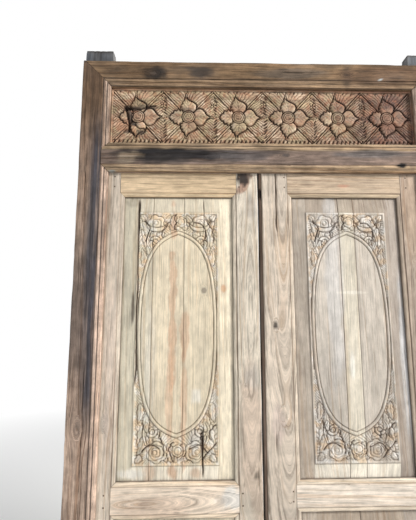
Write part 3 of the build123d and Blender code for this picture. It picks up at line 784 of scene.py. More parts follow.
def cutGroove(relief, line, width=0.0022, sink=0.0012, dirtAndShadow=0.6):
    # a sunk line, darkened along its middle: painted shadow where it is a carved cut, the split's own dark
    # where it is an old split
    points = np.asarray(line)
    rows, cols, x, z = windowOf(relief, points, width + 0.001)
    if x.size == 0:
        return
    near = np.clip(1 - lineDistance(x, z, points) / width, 0, 1)
    relief["depth"][rows, cols] += sink * near
    relief["dirtAndShadow"][rows, cols] = np.maximum(relief["dirtAndShadow"][rows, cols], dirtAndShadow * near)


def curve(points, steps=6):
    # Smooth line through the points given.
    p = np.asarray(points, float)
    p = np.vstack((2 * p[0] - p[1], p, 2 * p[-1] - p[-2]))
    t = np.linspace(0, 1, steps, endpoint=False)[:, None]
    result = []
    for a, b, c, d in zip(p, p[1:], p[2:], p[3:]):
        square, cube = 2 * a - 5 * b + 4 * c - d, 3 * b - a - 3 * c + d
        result.append(0.5 * (2 * b + (c - a) * t + square * t**2 + cube * t**3))
    result.append(p[-2][None])
    return np.vstack(result)


class Leaf:
    # A carved leaf: outline, midrib and side veins, in the plane of the board.
    def __init__(self, base, tip, width, lobes=3, bend=0.0, full=0.75):
        base, tip = np.asarray(base, float), np.asarray(tip, float)
        self.base, self.axis = base, tip - base
        self.normal = np.array((-self.axis[1], self.axis[0])) / max(hypot(*self.axis), 1e-9)
        self.width, self.lobes, self.bend, self.full = width, lobes, bend, full

    def middle(self, share):
        share = np.asarray(share)
        bow = (self.bend * 4 * share * (1 - share))[..., None] * self.normal
        return self.base + share[..., None] * self.axis + bow

    def half(self, share):
        envelope = 0.5 * self.width * np.sin(pi * np.clip(share, 0, 1) ** self.full)
        return envelope * (0.62 + 0.38 * abs(np.sin(self.lobes * pi * share**0.9)) ** 0.7) + 0.0006

    def outline(self):
        share = np.linspace(0, 1, 8 * self.lobes + 8)
        middle = self.middle(share)
        half = self.half(share)[:, None] * self.normal
        return np.vstack((middle + half, (middle - half)[-2:0:-1]))

    def rib(self):
        return self.middle(np.linspace(0.05, 0.9, 9))

    def veins(self):
        for lobe in range(self.lobes):
            share = (lobe + 0.5) / self.lobes
            for side in (1, -1):
                start = self.middle(max(share - 0.16, 0.04))
                end = self.middle(share) + side * 0.8 * self.half(share) * self.normal
                yield np.array([start, end])


def cutLeaf(relief, leaf, top, place=lambda p: p, **options):
    cutForm(relief, place(leaf.outline()), top, **options)
    cutGroove(relief, place(leaf.rib()), 0.0022, 0.0018, 0.75 * relief["shadow"])
    for vein in leaf.veins():
        cutGroove(relief, place(vein), 0.0018, 0.0012, 0.5 * relief["shadow"])


def combFill(relief, mask, phase, top, sink, rows, cols, dark=0.85):
    # Narrow blades side by side: rounded ridges with a line of painted shadow between them.
    blade = abs(np.sin(phase / 2))
    low = (1 - blade) ** 1.6
    relief["depth"][rows, cols] = np.where(mask, top + sink * low, relief["depth"][rows, cols])
    relief["dirtAndShadow"][rows, cols] = np.where(mask, dark * low**1.3, relief["dirtAndShadow"][rows, cols])


def ringOf(centre, radius, count):
    turn = np.linspace(0, 2 * pi, count, endpoint=False)
    return np.stack((centre[0] + radius * np.cos(turn), centre[1] + radius * np.sin(turn)), -1)


def lobedRing(centre, radius, lobes, deep, count=48):
    turn = np.linspace(0, 2 * pi, count, endpoint=False)
    reach = radius * (1 - deep * (1 - abs(np.sin(lobes * turn / 2))))
    return np.stack((centre[0] + reach * np.cos(turn), centre[1] + reach * np.sin(turn)), -1)


def serrated(points, teeth, size=0.0035):
    # A smooth line whose one side is broken into rounded teeth.
    line = curve(points, 10)
    run = np.concatenate(([0], np.cumsum(np.hypot(*np.diff(line, axis=0).T))))
    along = np.gradient(line, axis=0)
    normal = np.stack((-along[:, 1], along[:, 0]), -1) / np.maximum(np.hypot(*along.T), 1e-9)[:, None]
    lobe = abs(np.sin(teeth * pi * run / run[-1])) ** 0.7
    return line + size * lobe[:, None] * normal


boardBack = {"band": 0.004, "shade": 0.86}  # width inside its edge, and colour against the front's


def boardPiece(name, relief, cols, backY, faceY, wood, marks, chamfer=0.0):
    # One board: its share of the relief as the front, with sides and a flat back.
    x, z = np.meshgrid(relief["x"][cols], relief["z"])
    depth = relief["depth"][:, cols].copy()
    dirtAndShadow = relief["dirtAndShadow"][:, cols].copy()
    seed, level = wood["seed"], wood.get("level")
    along, across = (x, z) if level else (z, x)
    ring = ringField(along, across, depth, wood)
    grooves = layeredNoise(ring * 420, along * 7, seed, 3)
    waves = layeredNoise(along * 6, across * 12, seed + 2, 3)
    wear = wood.get("relief", 0.0006) * smoothStep(0.45, 0.85, grooves) + wood.get("waves", 0.001) * waves
    for gap, sink in crackGaps(along, across, wood, 0.007, 16):
        wear = wear + sink * gap
        dirtAndShadow = np.maximum(dirtAndShadow, gap**0.5)
    edge = np.minimum(x - x.min(), x.max() - x)
    if chamfer:
        depth = depth + chamfer * fadeOut(edge, 0.0022)
        dirtAndShadow = np.maximum(dirtAndShadow, 0.75 * fadeOut(edge, 0.0016))
    depth = depth + wear + wood.get("set", 0.0)
    dirtAndShadow = np.clip(dirtAndShadow + 0.25 * smoothStep(0.55, 0.8, grooves), 0, 1)
    tint = np.broadcast_to(np.asarray(wood["colour"], float), (*x.shape, 3))
    tint = wood["shade"](tint, x, depth, z) if "shade" in wood else tint
    tint = paint(tint, x, z, marks)
    grain = np.stack((ring, along + 0.37 * seed, 3.1 * seed + depth), -1)
    points = np.stack((x, faceY + depth, z), -1)
    rows, count = x.shape
    index = np.arange(rows * count).reshape(rows, count)
    quads = np.stack((index[:-1, :-1], index[:-1, 1:], index[1:, 1:], index[1:, :-1]), -1).reshape(-1, 4)
    rim = np.concatenate((index[0, :], index[1:, -1], index[-1, -2::-1], index[-2:0:-1, 0]))
    flatPoints, flatTint, flatGrain = points.reshape(-1, 3), tint.reshape(-1, 3), grain.reshape(-1, 3)
    rimPoints = flatPoints[rim].copy()
    rimPoints[:, 1] = backY
    # the back: a narrow band inside its edge, then a flat field whose grain runs straight
    backMiddle = np.append(rimPoints, [(rimPoints.min(0) + rimPoints.max(0)) / 2], 0)[-1]
    inset = np.clip(rimPoints - backMiddle, -1, 1)
    reach = abs(inset).max(0)
    backRing = backMiddle + inset * (1 - boardBack["band"] / np.maximum(reach, boardBack["band"]))
    backPoints = np.vstack((backRing, backMiddle))
    backX, backZ = backPoints[:, 0], backPoints[:, 2]
    backAlong, backAcross = (backX, backZ) if level else (backZ, backX)
    backSeed = np.full(len(backPoints), 3.1 * seed)
    backGrain = np.stack((0.35 * backAcross + 0.02 * backAlong, backAlong + 0.37 * seed, backSeed), -1)
    backTint = np.broadcast_to(np.asarray(wood["colour"], float) * boardBack["shade"], (len(backPoints), 3))
    total, size = rows * count, len(rim)
    rimBack = np.arange(total, total + size)
    inner = rimBack + size
    sides = np.stack((rim, rimBack, np.roll(rimBack, -1), np.roll(rim, -1)), -1)
    band = np.stack((rimBack, inner, np.roll(inner, -1), np.roll(rimBack, -1)), -1)
    centre = total + 2 * size
    fans = [[int(a), centre, int(b)] for a, b in zip(inner, np.roll(inner, -1))]
    allPoints = np.vstack((flatPoints, rimPoints, backPoints))
    layers = {
        "tint": np.vstack((flatTint, flatTint[rim], backTint)),
        "grain": np.vstack((flatGrain, flatGrain[rim] + np.array((0, 0, 0.02)), backGrain)),
        "dirtAndShadow": np.concatenate((dirtAndShadow.ravel(), np.zeros(2 * size + 1))),
    }
    piece = makeMesh(name, allPoints, quads.tolist() + sides.tolist() + band.tolist() + fans, layers)
    facesOut(piece, 60)
    return piece


# The carved panel over the doors
transomLook = {
    "units": 6, "sideBorder": 0.004, "topBorder": 0.007, "bottomBorder": 0.006, "depth": 0.009,
    "step": 0.0017, "bossRadius": 0.0185, "ringRadius": 0.0245, "centreRadius": 0.0115, "ribWidth": 0.0052,
    "fanBlades": 50, "bladePitch": 0.0112, "rim": 0.003, "nicks": (0.019, 0.090, 0.0128),
    "starHeight": 0.050, "notchesAFlower": 12, "backDepth": 0.046, "colour": (0.485, 0.345, 0.232),
    "redEnd": (0.135, 0.072, 0.054), "borderHighlight": (0.62, 0.47, 0.31), "redBorder": (0.34, 0.19, 0.115),
}
petalSmooth = [(0.24, 0.52), (0.36, 0.86), (0.51, 1.0), (0.64, 0.94), (0.75, 0.64), (0.84, 0.27),
               (0.92, 0.12), (1.02, 0.0)]
petalLobed = [(0.24, 0.48), (0.30, 0.78), (0.35, 0.66), (0.43, 0.99), (0.51, 0.80), (0.60, 0.94),
              (0.67, 0.66), (0.76, 0.62), (0.83, 0.30), (0.91, 0.17), (1.02, 0.0)]
petalTorn = [(0.30, 0.55), (0.36, 0.92), (0.45, 0.76), (0.55, 1.0), (0.63, 0.74), (0.74, 0.80), (0.80, 0.46),
             (0.90, 0.38), (1.0, 0.0)]
# direction, its two outlines, reach, half width, the side in shadow and the bend of its tip
petalForms = (
    (0, petalSmooth, petalSmooth, 0.084, 0.033, (0.75, 0.65), 0.0),
    (pi / 2, petalLobed, petalSmooth, 0.082, 0.030, (1.0, 0.25), 0.010),
    (pi, petalTorn, petalTorn, 0.071, 0.031, (-1.0, -0.1), 0.0),
    (-pi / 2, petalSmooth, petalLobed, 0.077, 0.031, (-0.75, -0.65), -0.008),
)
# one ray of the small stars between the flowers
starRay = [(0.0, -0.0012), (0.008, -0.0036), (0.015, 0), (0.008, 0.0036), (0.0, 0.0012)]


def petalOutline(reach, half, oneSide, otherSide, bend):
    one = curve([(reach * a, half * b) for a, b in oneSide], 4)
    other = curve([(reach * a, -half * b) for a, b in otherSide], 4)
    points = np.vstack((one, other[-2::-1]))
    points[:, 1] += bend * smoothStep(0.6 * reach, reach, points[:, 0])
    return points


def turnedTo(angle, centre, flip=1):
    turn = np.array(((cos(angle), -sin(angle)), (sin(angle), cos(angle))))
    return lambda p: (np.atleast_2d(p) * (1, flip)) @ turn.T + centre


def combGround(relief, centre, unit):
    # Fine leaves: a fan over and under the flower, blades along the ribs at its sides.
    look = transomLook
    halfW, halfH = unit[0] / 2, unit[1] / 2
    rows, cols, x, z = windowOf(relief, np.array([centre - (halfW, halfH), centre + (halfW, halfH)]), 0.0)
    u, v = x - centre[0], z - centre[1]
    wander = 0.0100 * (layeredNoise(x * 60, z * 60, 12) - 0.5)
    above = abs(v) * halfW > abs(u) * halfH
    bend = 3.6 * np.sign(u) * np.hypot(u, v)
    fan = look["fanBlades"] * (np.arctan2(abs(v), u + 0.10 * v) + bend) + 520 * wander
    fromJoint = halfW - abs(u)
    blades = 2 * pi * (abs(v) + 0.85 * fromJoint + wander) / look["bladePitch"]
    faint = 0.28 + 0.50 * smoothStep(0.3, 0.75, layeredNoise(x * 45, z * 45, 15, 2))
    combFill(relief, above, fan, 0.46 * look["depth"], 0.0024, rows, cols, 0.9 * faint)
    combFill(relief, ~above, blades, 0.40 * look["depth"], 0.0032, rows, cols, 0.35 + 0.75 * faint)


def carveFlower(relief, centre, unit, rng):
    look = transomLook
    d = look["depth"]
    slant, length = np.arctan2(unit[1], unit[0]), hypot(*unit) / 2
    # ribs on the diagonals, with the deeper, darker line of painted shadow on their left
    for turn in (slant, pi - slant, pi + slant, -slant):
        place = turnedTo(turn, centre)
        w = look["ribWidth"] / 2
        cutForm(relief, place([(0.026, -w), (length, -w), (length, w), (0.026, w)]), 0.13 * d, edge=0.002,
                drop=0.0010, ditch=0.0028, sink=0.0036, dark=(-1.0, -0.3))
        line = (w + 0.0014) * (1 if sin(turn) > 0 else -1)
        cutGroove(relief, place([(0.03, line), (length - 0.004, line)]), 0.0027, 0.0036, 0.85)
        cutGroove(relief, place([(0.03, -line), (length - 0.004, -line)]), 0.0020, 0.0022, 0.40)
    for turn, one, other, reach, half, dark, bend in petalForms:
        reach = reach * (1 + 0.05 * (rng.random() - 0.5))
        place = turnedTo(turn, centre)
        cutForm(relief, place(petalOutline(reach, half, one, other, bend)), 0.14 * d, edge=0.007, drop=0.0036,
                ditch=0.0080, sink=0.0064, dome=0.0008, dark=dark)
        midrib = curve([(0.03, 0), (0.5 * reach, 0.001), (0.9 * reach, 0.7 * bend)])
        cutGroove(relief, place(midrib), 0.0024, 0.0018, 0.45)
        for k in range(3):
            start = 0.03 + 0.014 * k
            for flip in (1, -1):
                vein = [(start, 0.001), (start + 0.010, 0.011 - 0.002 * k),
                        (start + 0.020, 0.018 - 0.004 * k)]
                cutGroove(relief, turnedTo(turn, centre, flip)(curve(vein, 4)), 0.0022, 0.0016, 0.55)
        tail = np.array([(reach, bend), (reach + 0.006, bend - 0.003), (reach + 0.014, bend - 0.001)])
        cutForm(relief, place(np.vstack((tail + (0, 0.0016), (tail - (0, 0.0016))[::-1]))), 0.26 * d,
                edge=0.002, drop=0.0012, ditch=0.0030)
    # ring and boss
    cutForm(relief, ringOf(centre, look["ringRadius"], 32), 0.14 * d, edge=0.004, drop=0.0022, ditch=0.0034,
            sink=0.0044)
    cutForm(relief, ringOf(centre, look["bossRadius"], 28), 0.06 * d, edge=0.006, drop=0.0030, ditch=0.0026,
            sink=0.0030)
    rows, cols, x, z = windowOf(relief, np.array([centre, centre]), look["centreRadius"])
    onMiddle = np.hypot(x - centre[0], z - centre[1]) < look["centreRadius"]
    pits = smoothStep(0.50, 0.62, layeredNoise(x * 240, z * 240, 31, 2)) * onMiddle
    relief["depth"][rows, cols] += 0.0016 * pits
    relief["dirtAndShadow"][rows, cols] = np.maximum(relief["dirtAndShadow"][rows, cols], 0.6 * pits)
    # circles of painted shadow in the grooves round the ring, the boss and its middle
    lines = (
        (look["ringRadius"] + 0.0014, 0.0036, 1.0),
        (look["bossRadius"], 0.0026, 0.85),
        (look["centreRadius"], 0.0024, 0.6),
    )
    for radius, width, dirtAndShadow in lines:
        circle = ringOf(centre, radius, 28)
        cutGroove(relief, np.vstack((circle, circle[:1])), width, 0.0016, dirtAndShadow)


def carveTransom():
    look = transomLook
    low, high = railHigh, headLow
    rim = look["rim"]
    x = np.linspace(-innerX - rim, innerX + rim, int(2 * innerX / look["step"]))
    z = np.linspace(low - rim, high + rim, int((high - low) / look["step"]))
    gridX, gridZ = np.meshgrid(x, z)
    x0, x1 = -innerX + look["sideBorder"], innerX - look["sideBorder"]
    z0, z1 = low + look["bottomBorder"], high - look["topBorder"]
    inset = insetIn(gridX, gridZ, x0, x1, z0, z1)
    relief = newRelief(x, z, look["depth"] * smoothStep(-0.0008, 0.0012, inset))
    unit = ((x1 - x0) / look["units"], z1 - z0)
    rng = np.random.default_rng(5)
    centres = [np.array((x0 + (k + 0.5) * unit[0], (z0 + z1) / 2)) for k in range(look["units"])]
    for centre in centres:
        combGround(relief, centre, unit)
    # nicks up each joint of two units, darkened with painted shadow, and a small star over its stem
    for k in range(1, look["units"]):
        joint = np.array((x0 + k * unit[0], (z0 + z1) / 2))
        for away in np.arange(*look["nicks"]):
            for up in (1, -1):
                size = 0.55 + 0.75 * rng.random()
                shift = 0.004 * rng.random()
                slip = 0.004 * (rng.random() - 0.5)
                nick = joint + (0.0010 + shift, up * (away + slip))
                cut = [nick, nick + (0.0075 * size, -up * 0.0070)]
                cutGroove(relief, cut, 0.0020 + 0.0026 * size, 0.0046, 1.0)
                if rng.random() < 0.45:
                    cutGroove(relief, [nick - (0.005, 0), nick - (0.012, -up * 0.007)], 0.0030, 0.0028, 0.7)
        cutForm(relief, ringOf(joint, 0.005, 10), 0.35 * look["depth"], edge=0.002)
        for turn in range(4):
            place = turnedTo(turn * pi / 2 + pi / 4, joint + (0, look["starHeight"]))
            cutForm(relief, place(starRay), 0.26 * look["depth"], edge=0.002)
    for centre in centres:
        carveFlower(relief, centre, unit, rng)
    # painted shade along the foot of the carving, where it meets the border
    foot = smoothStep(0.005, 0.0, abs(inset)) * (inset > 0)
    relief["dirtAndShadow"] = np.maximum(relief["dirtAndShadow"], 0.8 * foot)
    outside = smoothStep(0.0012, -0.0006, inset)
    relief["depth"] = relief["depth"] * (1 - outside) + 0.0002 * outside
    relief["dirtAndShadow"] *= 1 - outside
    # row of notches along the foot of the carving, darkened with painted shadow
    notches = look["units"] * look["notchesAFlower"]
    for k in range(notches):
        place = x0 + (k + 0.5) * (x1 - x0) / notches
        cutGroove(relief, [(place, z0 + 0.001), (place + 0.004, z0 + 0.012)], 0.0046, 0.0044, 1.0)
        if k % 2:
            cutGroove(relief, [(place, z1 - 0.009), (place + 0.003, z1 - 0.001)], 0.003, 0.003, 0.7)
    return relief


def transomShade(tint, x, depth, z):
    look = transomLook
    red = smoothStep(0.10, 0.52, x + 0.1 * (layeredNoise(x * 6, z * 18, 3) - 0.5))
    tint = mix(tint, look["redEnd"], red * 0.88)
    left = smoothStep(-0.3, -0.5, x + 0.05 * (layeredNoise(x * 9, z * 12, 5) - 0.5))
    tint = mix(tint, (0.50, 0.30, 0.19), left * 0.55)
    reddish = smoothStep(0.5, 0.75, layeredNoise(x * 9, z * 30, 8, 4))
    tint = mix(tint, (0.52, 0.28, 0.16), reddish * 0.4)
    olive = smoothStep(0.44, 0.60, layeredNoise(x * 26, z * 34, 23, 3)) * (1 - 0.7 * red)
    tint = mix(tint, (0.50, 0.405, 0.245), olive * 0.65)
    flecks = smoothStep(0.54, 0.66, layeredNoise(x * 85, z * 85, 27, 2))
    tint = mix(tint, (0.36, 0.165, 0.090), flecks * 0.55)
    # painted highlight on the upward-facing ledge of the bottom border
    tint = mix(tint, look["borderHighlight"],
               smoothStep(railHigh + 0.0066, railHigh + 0.0056, z) * (1 - 0.5 * red))
    tint = mix(tint, look["redBorder"], smoothStep(headLow - 0.0080, headLow - 0.0068, z) * 0.8)
    # painted shadow under the head rail along the top edge
    tint = mix(tint, (0.10, 0.06, 0.04), smoothStep(headLow - 0.003, headLow + 0.001, z) * 0.8)
    # painted highlight: paler patches on the raised tops of the carving
    raised = smoothStep(0.0056, 0.0044, depth) * smoothStep(0.0008, 0.0014, depth)
    pale = smoothStep(0.5, 0.72, layeredNoise(x * 42, z * 42, 9, 3)) * raised
    tint = mix(tint, (0.78, 0.63, 0.47), pale * 0.6 * (1 - 0.7 * red))
    # darker, redder middles of the flowers, more so to the right
    unit = 2 * (innerX - look["sideBorder"]) / look["units"]
    offX = (x + innerX - look["sideBorder"]) % unit - unit / 2
    fromMiddle = np.hypot(offX, z - (railHigh + headLow + look["bottomBorder"] - look["topBorder"]) / 2)
    middle = smoothStep(0.0145, 0.0110, fromMiddle) * (0.35 + 0.5 * smoothStep(-0.3, 0.4, x))
    tint = mix(tint, (0.20, 0.115, 0.070), middle)
    warm = smoothStep(0.42, 0.7, layeredNoise(x * 20, z * 20, 19, 3))
    tint = mix(tint, (0.36, 0.205, 0.130), smoothStep(0.085, 0.035, fromMiddle) * warm * 0.45)
    tint = tint * mix(np.ones_like(tint), (0.78, 0.725, 0.76), red)
    deep = smoothStep(0.0035, 0.009, depth)
    return mix(tint, tint * (0.40, 0.33, 0.31), deep * 0.8)


transomMarks = [
    stain((-0.505, 2.094), (0.036, 0.009), (0.035, 0.023, 0.017), 0.85, 41, ragged=1.5, fine=40, long=40),
    stain((-0.530, 2.098), (0.015, 0.013), (0.03, 0.020, 0.015), 0.9, 47, ragged=1.3, fine=40, long=40),
    stain((-0.518, 2.056), (0.009, 0.032), (0.05, 0.035, 0.028), 0.85, 48, ragged=1.0, fine=30, long=30),
    stain((-0.501, 2.030), (0.012, 0.009), (0.02, 0.014, 0.011), 0.95, 49, ragged=0.8),
    stain((-0.527, 2.002), (0.014, 0.008), (0.04, 0.027, 0.02), 0.85, 50, ragged=1.2),
    stain((-0.472, 1.999), (0.020, 0.011), (0.07, 0.055, 0.048), 0.7, 43, ragged=1.2, fine=30, long=30),
    stain((-0.504, 2.004), (0.012, 0.013), (0.60, 0.33, 0.18), 0.8, 51, ragged=0.8),
    stain((-0.498, 2.083), (0.014, 0.004), (0.42, 0.19, 0.11), 0.8, 52, ragged=0.8),
    stain((-0.545, 2.030), (0.024, 0.026), (0.50, 0.25, 0.145), 0.6, 45, ragged=0.9),
    stain((-0.440, 2.103), (0.045, 0.010), (0.04, 0.028, 0.022), 0.6, 42, ragged=1.3, fine=24, long=60),
    stain((-0.30, 2.09), (0.05, 0.012), (0.06, 0.04, 0.03), 0.55, 44, ragged=1.3, fine=24, long=60),
]
transomRelief = carveTransom()
# the old splits through the first flower: line, width and depth
flowerSplits = (
    ([(-0.537, 2.100), (-0.531, 2.084), (-0.524, 2.050), (-0.520, 2.021), (-0.521, 2.003)], 0.0078, 0.013),
    ([(-0.521, 2.003), (-0.511, 1.995), (-0.500, 1.987)], 0.0036, 0.006),
    ([(-0.534, 2.092), (-0.521, 2.097), (-0.481, 2.091), (-0.455, 2.102), (-0.421, 2.108)], 0.0044, 0.007),
    ([(-0.514, 2.078), (-0.506, 2.074), (-0.511, 2.058), (-0.514, 2.043), (-0.495, 2.036)], 0.0042, 0.006),
    ([(-0.498, 2.027), (-0.481, 2.013), (-0.463, 2.012), (-0.461, 2.001), (-0.475, 1.991)], 0.0046, 0.007),
)
for line, width, sink in flowerSplits:
    cutGroove(transomRelief, curve(line), width, sink, 1.0)
transomWood = {
    "colour": transomLook["colour"], "seed": 52, "pith": (headLow + 0.2, front + 0.2, 0.0, 0.01),
    "level": True, "relief": 0.0005, "waves": 0.0006, "shade": transomShade,
}
transom = boardPiece("carvedTransomPanel", transomRelief, slice(None), front + transomLook["backDepth"],
                     front + joinery["frameLip"], transomWood, transomMarks)
finishPiece(transom, "frame", "carved_wood", "transom_panel")
print("carved panel over the doors made")


# Leaves
leafJoints = ("top", "mid", "bottom")


def railRange(side, name):
    low, high = box[f"{side}_{name}_rail"]
    return low.z, high.z


def openingOf(side):
    # The opening between the stiles of a leaf.
    hinge, meeting = box[f"{side}_hinge_stile"], box[f"{side}_meeting_stile"]
    return (hinge[1].x, meeting[0].x) if side == "left" else (meeting[1].x, hinge[0].x)


def leafCut(side):
    mould = joinery["leafMoulding"]
    spans = [railRange(side, name) for name in leafJoints]

    def cut(row):
        for low, high in spans:
            lowEnd = low if low > leafLow + 0.01 else -1.0
            highEnd = high if high < leafHigh - 0.01 else 9.0
            if lowEnd <= row <= highEnd:
                return min(mould, row - lowEnd, highEnd - row)
        return 0.0
    return cut


leafWoods = {
    "left_hinge_stile": {
        "colour": (0.67, 0.585, 0.485), "seed": 61, "pith": (-0.80, leafFront + 0.03, 0.02, 0.012),
        "knots": [(0.93, -0.575, 0.010)],
    },
    "left_meeting_stile": {
        "colour": (0.64, 0.57, 0.47), "seed": 62, "pith": (-0.07, leafFront + 0.10, 0.006, -0.075),
        "knots": [(1.03, -0.085, 0.011), (1.80, -0.082, 0.016)],
        "cracks": [(-0.045, 0.70, 0.80, 0.003, 0.004)],
    },
    "left_top_rail": {"colour": (0.66, 0.50, 0.325), "seed": 63, "pith": (1.62, leafFront + 0.10, 0.0, 0.04)},
    "left_mid_rail": {
        "colour": (0.80, 0.67, 0.54), "seed": 64, "pith": (0.682, leafFront + 0.055, 0.02, 0.13),
    },
    "left_bottom_rail": {
        "colour": (0.60, 0.49, 0.38), "seed": 65, "pith": (0.10, leafFront + 0.07, 0.02, 0.10),
    },
    "right_hinge_stile": {
        # its own colour, darkened with painted shade from the jamb beside it
        "colour": (0.385, 0.31, 0.25), "seed": 71, "pith": (0.74, leafFront + 0.09, 0.01, 0.0),
        "knots": [(1.50, 0.555, 0.009)],
    },
    "right_meeting_stile": {
        "colour": (0.62, 0.53, 0.435), "seed": 72, "pith": (0.06, leafFront + 0.12, 0.0, -0.06),
        "knots": [(1.262, 0.027, 0.010), (0.95, 0.045, 0.012)],
        "cracks": [(0.040, 1.60, 1.86, 0.0036, 0.011), (0.020, 0.74, 0.95, 0.0022, 0.005)],
    },
    "right_top_rail": {
        "colour": (0.485, 0.375, 0.27), "seed": 73, "pith": (1.60, leafFront + 0.10, 0.0, 0.035),
    },
    "right_mid_rail": {"colour": (0.76, 0.67, 0.57), "seed": 74, "pith": (0.55, leafFront + 0.10, 0.0, 0.05)},
    "right_bottom_rail": {
        "colour": (0.60, 0.50, 0.40), "seed": 75, "pith": (0.16, leafFront + 0.06, 0.02, 0.09),
    },
}
leafMarks = {
    "left_meeting_stile": [
        stain((-0.084, 1.786), (0.017, 0.040), (0.34, 0.20, 0.14), 0.85, 80, turn=-0.64, ragged=1.2, fine=60,
              long=50),
        stain((-0.082, 1.812), (0.022, 0.024), (0.032, 0.024, 0.022), 0.97, 81, ragged=1.7, fine=75, long=65),
        stain((-0.062, 1.826), (0.016, 0.009), (0.10, 0.065, 0.055), 0.8, 77, turn=-0.6, ragged=1.3, fine=75,
              long=65),
        stain((-0.060, 0.86), (0.055, 0.26), (0.50, 0.375, 0.29), 0.6, 79, ragged=1.0, fine=30, long=8),
        stain((-0.055, 1.70), (0.020, 0.05), (0.42, 0.40, 0.37), 0.6, 82),
        stain((-0.06, 1.08), (0.03, 0.04), (0.45, 0.42, 0.38), 0.5, 83),
        stain((-0.049, 0.756), (0.010, 0.012), (0.10, 0.08, 0.06), 0.7, 84),
    ],
    "left_hinge_stile": [
        stain((-0.575, 1.62), (0.06, 0.40), (0.49, 0.41, 0.33), 0.55, 78, ragged=0.8, fine=30, long=8),
        stain((-0.575, 0.93), (0.014, 0.03), (0.36, 0.33, 0.30), 0.5, 85),
        stain((-0.56, 1.10), (0.02, 0.3), (0.62, 0.48, 0.40), 0.35, 86),
    ],
    "left_mid_rail": [
        stain((-0.14, 0.682), (0.040, 0.036), (0.70, 0.68, 0.64), 0.75, 87, ragged=1.2, fine=40, long=40),
        stain((-0.40, 0.66), (0.12, 0.03), (0.60, 0.44, 0.33), 0.45, 88, fine=10, long=50),
    ],
    "right_meeting_stile": [
        stain((0.027, 1.262), (0.009, 0.010), (0.03, 0.022, 0.018), 0.95, 89),
        stain((0.030, 0.92), (0.022, 0.06), (0.50, 0.40, 0.36), 0.5, 90),
        stain((0.045, 0.35), (0.03, 0.2), (0.52, 0.36, 0.24), 0.4, 91),
    ],
    "right_hinge_stile": [
        # painted shadow cast by the right jamb on the upper part of the stile
        stain((0.61, 1.72), (0.035, 0.14), (0.10, 0.075, 0.06), 0.8, 92, ragged=0.8),
        stain((0.55, 1.7), (0.03, 0.16), (0.42, 0.30, 0.21), 0.5, 93),
    ],
    "right_top_rail": [stain((0.30, 1.785), (0.022, 0.007), (0.60, 0.30, 0.20), 0.6, 94, fine=40, long=80)],
}


def stileShade(sight, outward):
    def shade(tint, across, depth, along):
        away = (across - sight) * outward
        face = smoothStep(leafFront + 0.012, leafFront + 0.003, depth)
        # painted shade in the quirk of the moulding
        line = smoothStep(0.0022, 0.0008, abs(away - 0.0148)) * face
        moulding = smoothStep(0.0155, 0.013, away) * smoothStep(0.0, 0.004, away) * face
        tint = mix(tint, (0.70, 0.58, 0.42), moulding * 0.15)
        tint = mix(tint, (0.15, 0.095, 0.06), line * 0.75)
        # painted shade along the sight edge, where the stile meets the panel
        return mix(tint, (0.05, 0.035, 0.025), smoothStep(0.0022, 0.0, away) * 0.7)
    return shade


def leafRailShade(low, high, lowLine, highLine):
    def shade(tint, across, depth, along):
        face = smoothStep(leafFront + 0.012, leafFront + 0.003, depth)
        for wanted, away in ((lowLine, across - low), (highLine, high - across)):
            if wanted:
                tint = mix(tint, (0.70, 0.57, 0.37), smoothStep(0.0155, 0.013, away) * face * 0.3)
                # painted shade in the quirk of the moulding
                tint = mix(tint, (0.20, 0.13, 0.085),
                           smoothStep(0.002, 0.0007, abs(away - 0.0148)) * face * 0.55)
                # painted shade along the edge where the rail meets the panel
                tint = mix(tint, (0.06, 0.04, 0.028), smoothStep(0.002, 0.0, away) * 0.7)
        return tint
    return shade


def halfRound(axisAway, thickness):
    # Round back edge of a hinge stile, from the face round to the back.
    r = thickness / 2
    return [(axisAway + r * sin(turn), r - r * cos(turn)) for turn in np.linspace(pi / 16, pi, 16)]


def makeStile(side, kind):
    node = f"{side}_{kind}_stile"
    low, high = box[node]
    hand = -1 if side == "left" else 1
    outward = hand if kind == "hinge" else -hand
    sight, outer = (low.x, high.x) if outward > 0 else (high.x, low.x)
    wood = dict(leafWoods[node], shade=stileShade(sight, outward), relief=0.0008, waves=0.0012)
    mould = joinery["leafMoulding"]
    spans = [railRange(side, name) for name in leafJoints]
    joints = [(z, z + mould) for z in (spans[1][0], spans[0][0])]
    joints += [(z - mould, z) for z in (spans[1][1], spans[2][1])]
    thickness = leafBack - leafFront
    axisAway = abs(outer - sight) - thickness / 2
    roundBack, faceEnd = None, outer
    if kind == "hinge":
        roundBack, faceEnd = halfRound(axisAway, thickness), sight + outward * axisAway
    area = ((sight, faceEnd), (leafLow, leafHigh), (leafFront, leafBack))
    bar = uprightMember(
        side + kind.title() + "Stile", outward, area, joinery["leafFrontLayer"], leafProfile, mould, joints,
        (leafCut(side), lambda row: 0.0), wood, leafMarks.get(node, ()), roundBack,
    )
    pieces = [bar]
    if kind == "hinge":
        axisX, axisY = sight + outward * axisAway, leafFront + thickness / 2
        for z0, z1 in ((low.z, leafLow + 0.004), (leafHigh - 0.004, high.z)):
            pieces.append(pivotPiece(node + "Pivot", axisX, axisY, z0, z1, wood))
    return finishPiece(join(pieces), f"{side}_leaf", "leaf_wood", node)


def pivotPiece(name, x, y, z0, z1, wood):
    turn = np.linspace(0, 2 * pi, 24, endpoint=False)
    rows = np.array((z0, z0 + 0.002, (z0 + z1) / 2, z1 - 0.002, z1))
    radius = joinery["pivotRadius"] * np.array((0.88, 1, 1, 1, 0.88))[:, None]
    across, depth = x + radius * np.cos(turn), y + radius * np.sin(turn)
    plain = dict({key: wood[key] for key in ("colour", "seed", "pith")}, relief=0.0, waves=0.0)
    return loftPiece(name, "z", across, depth, np.broadcast_to(rows[:, None], across.shape), plain)


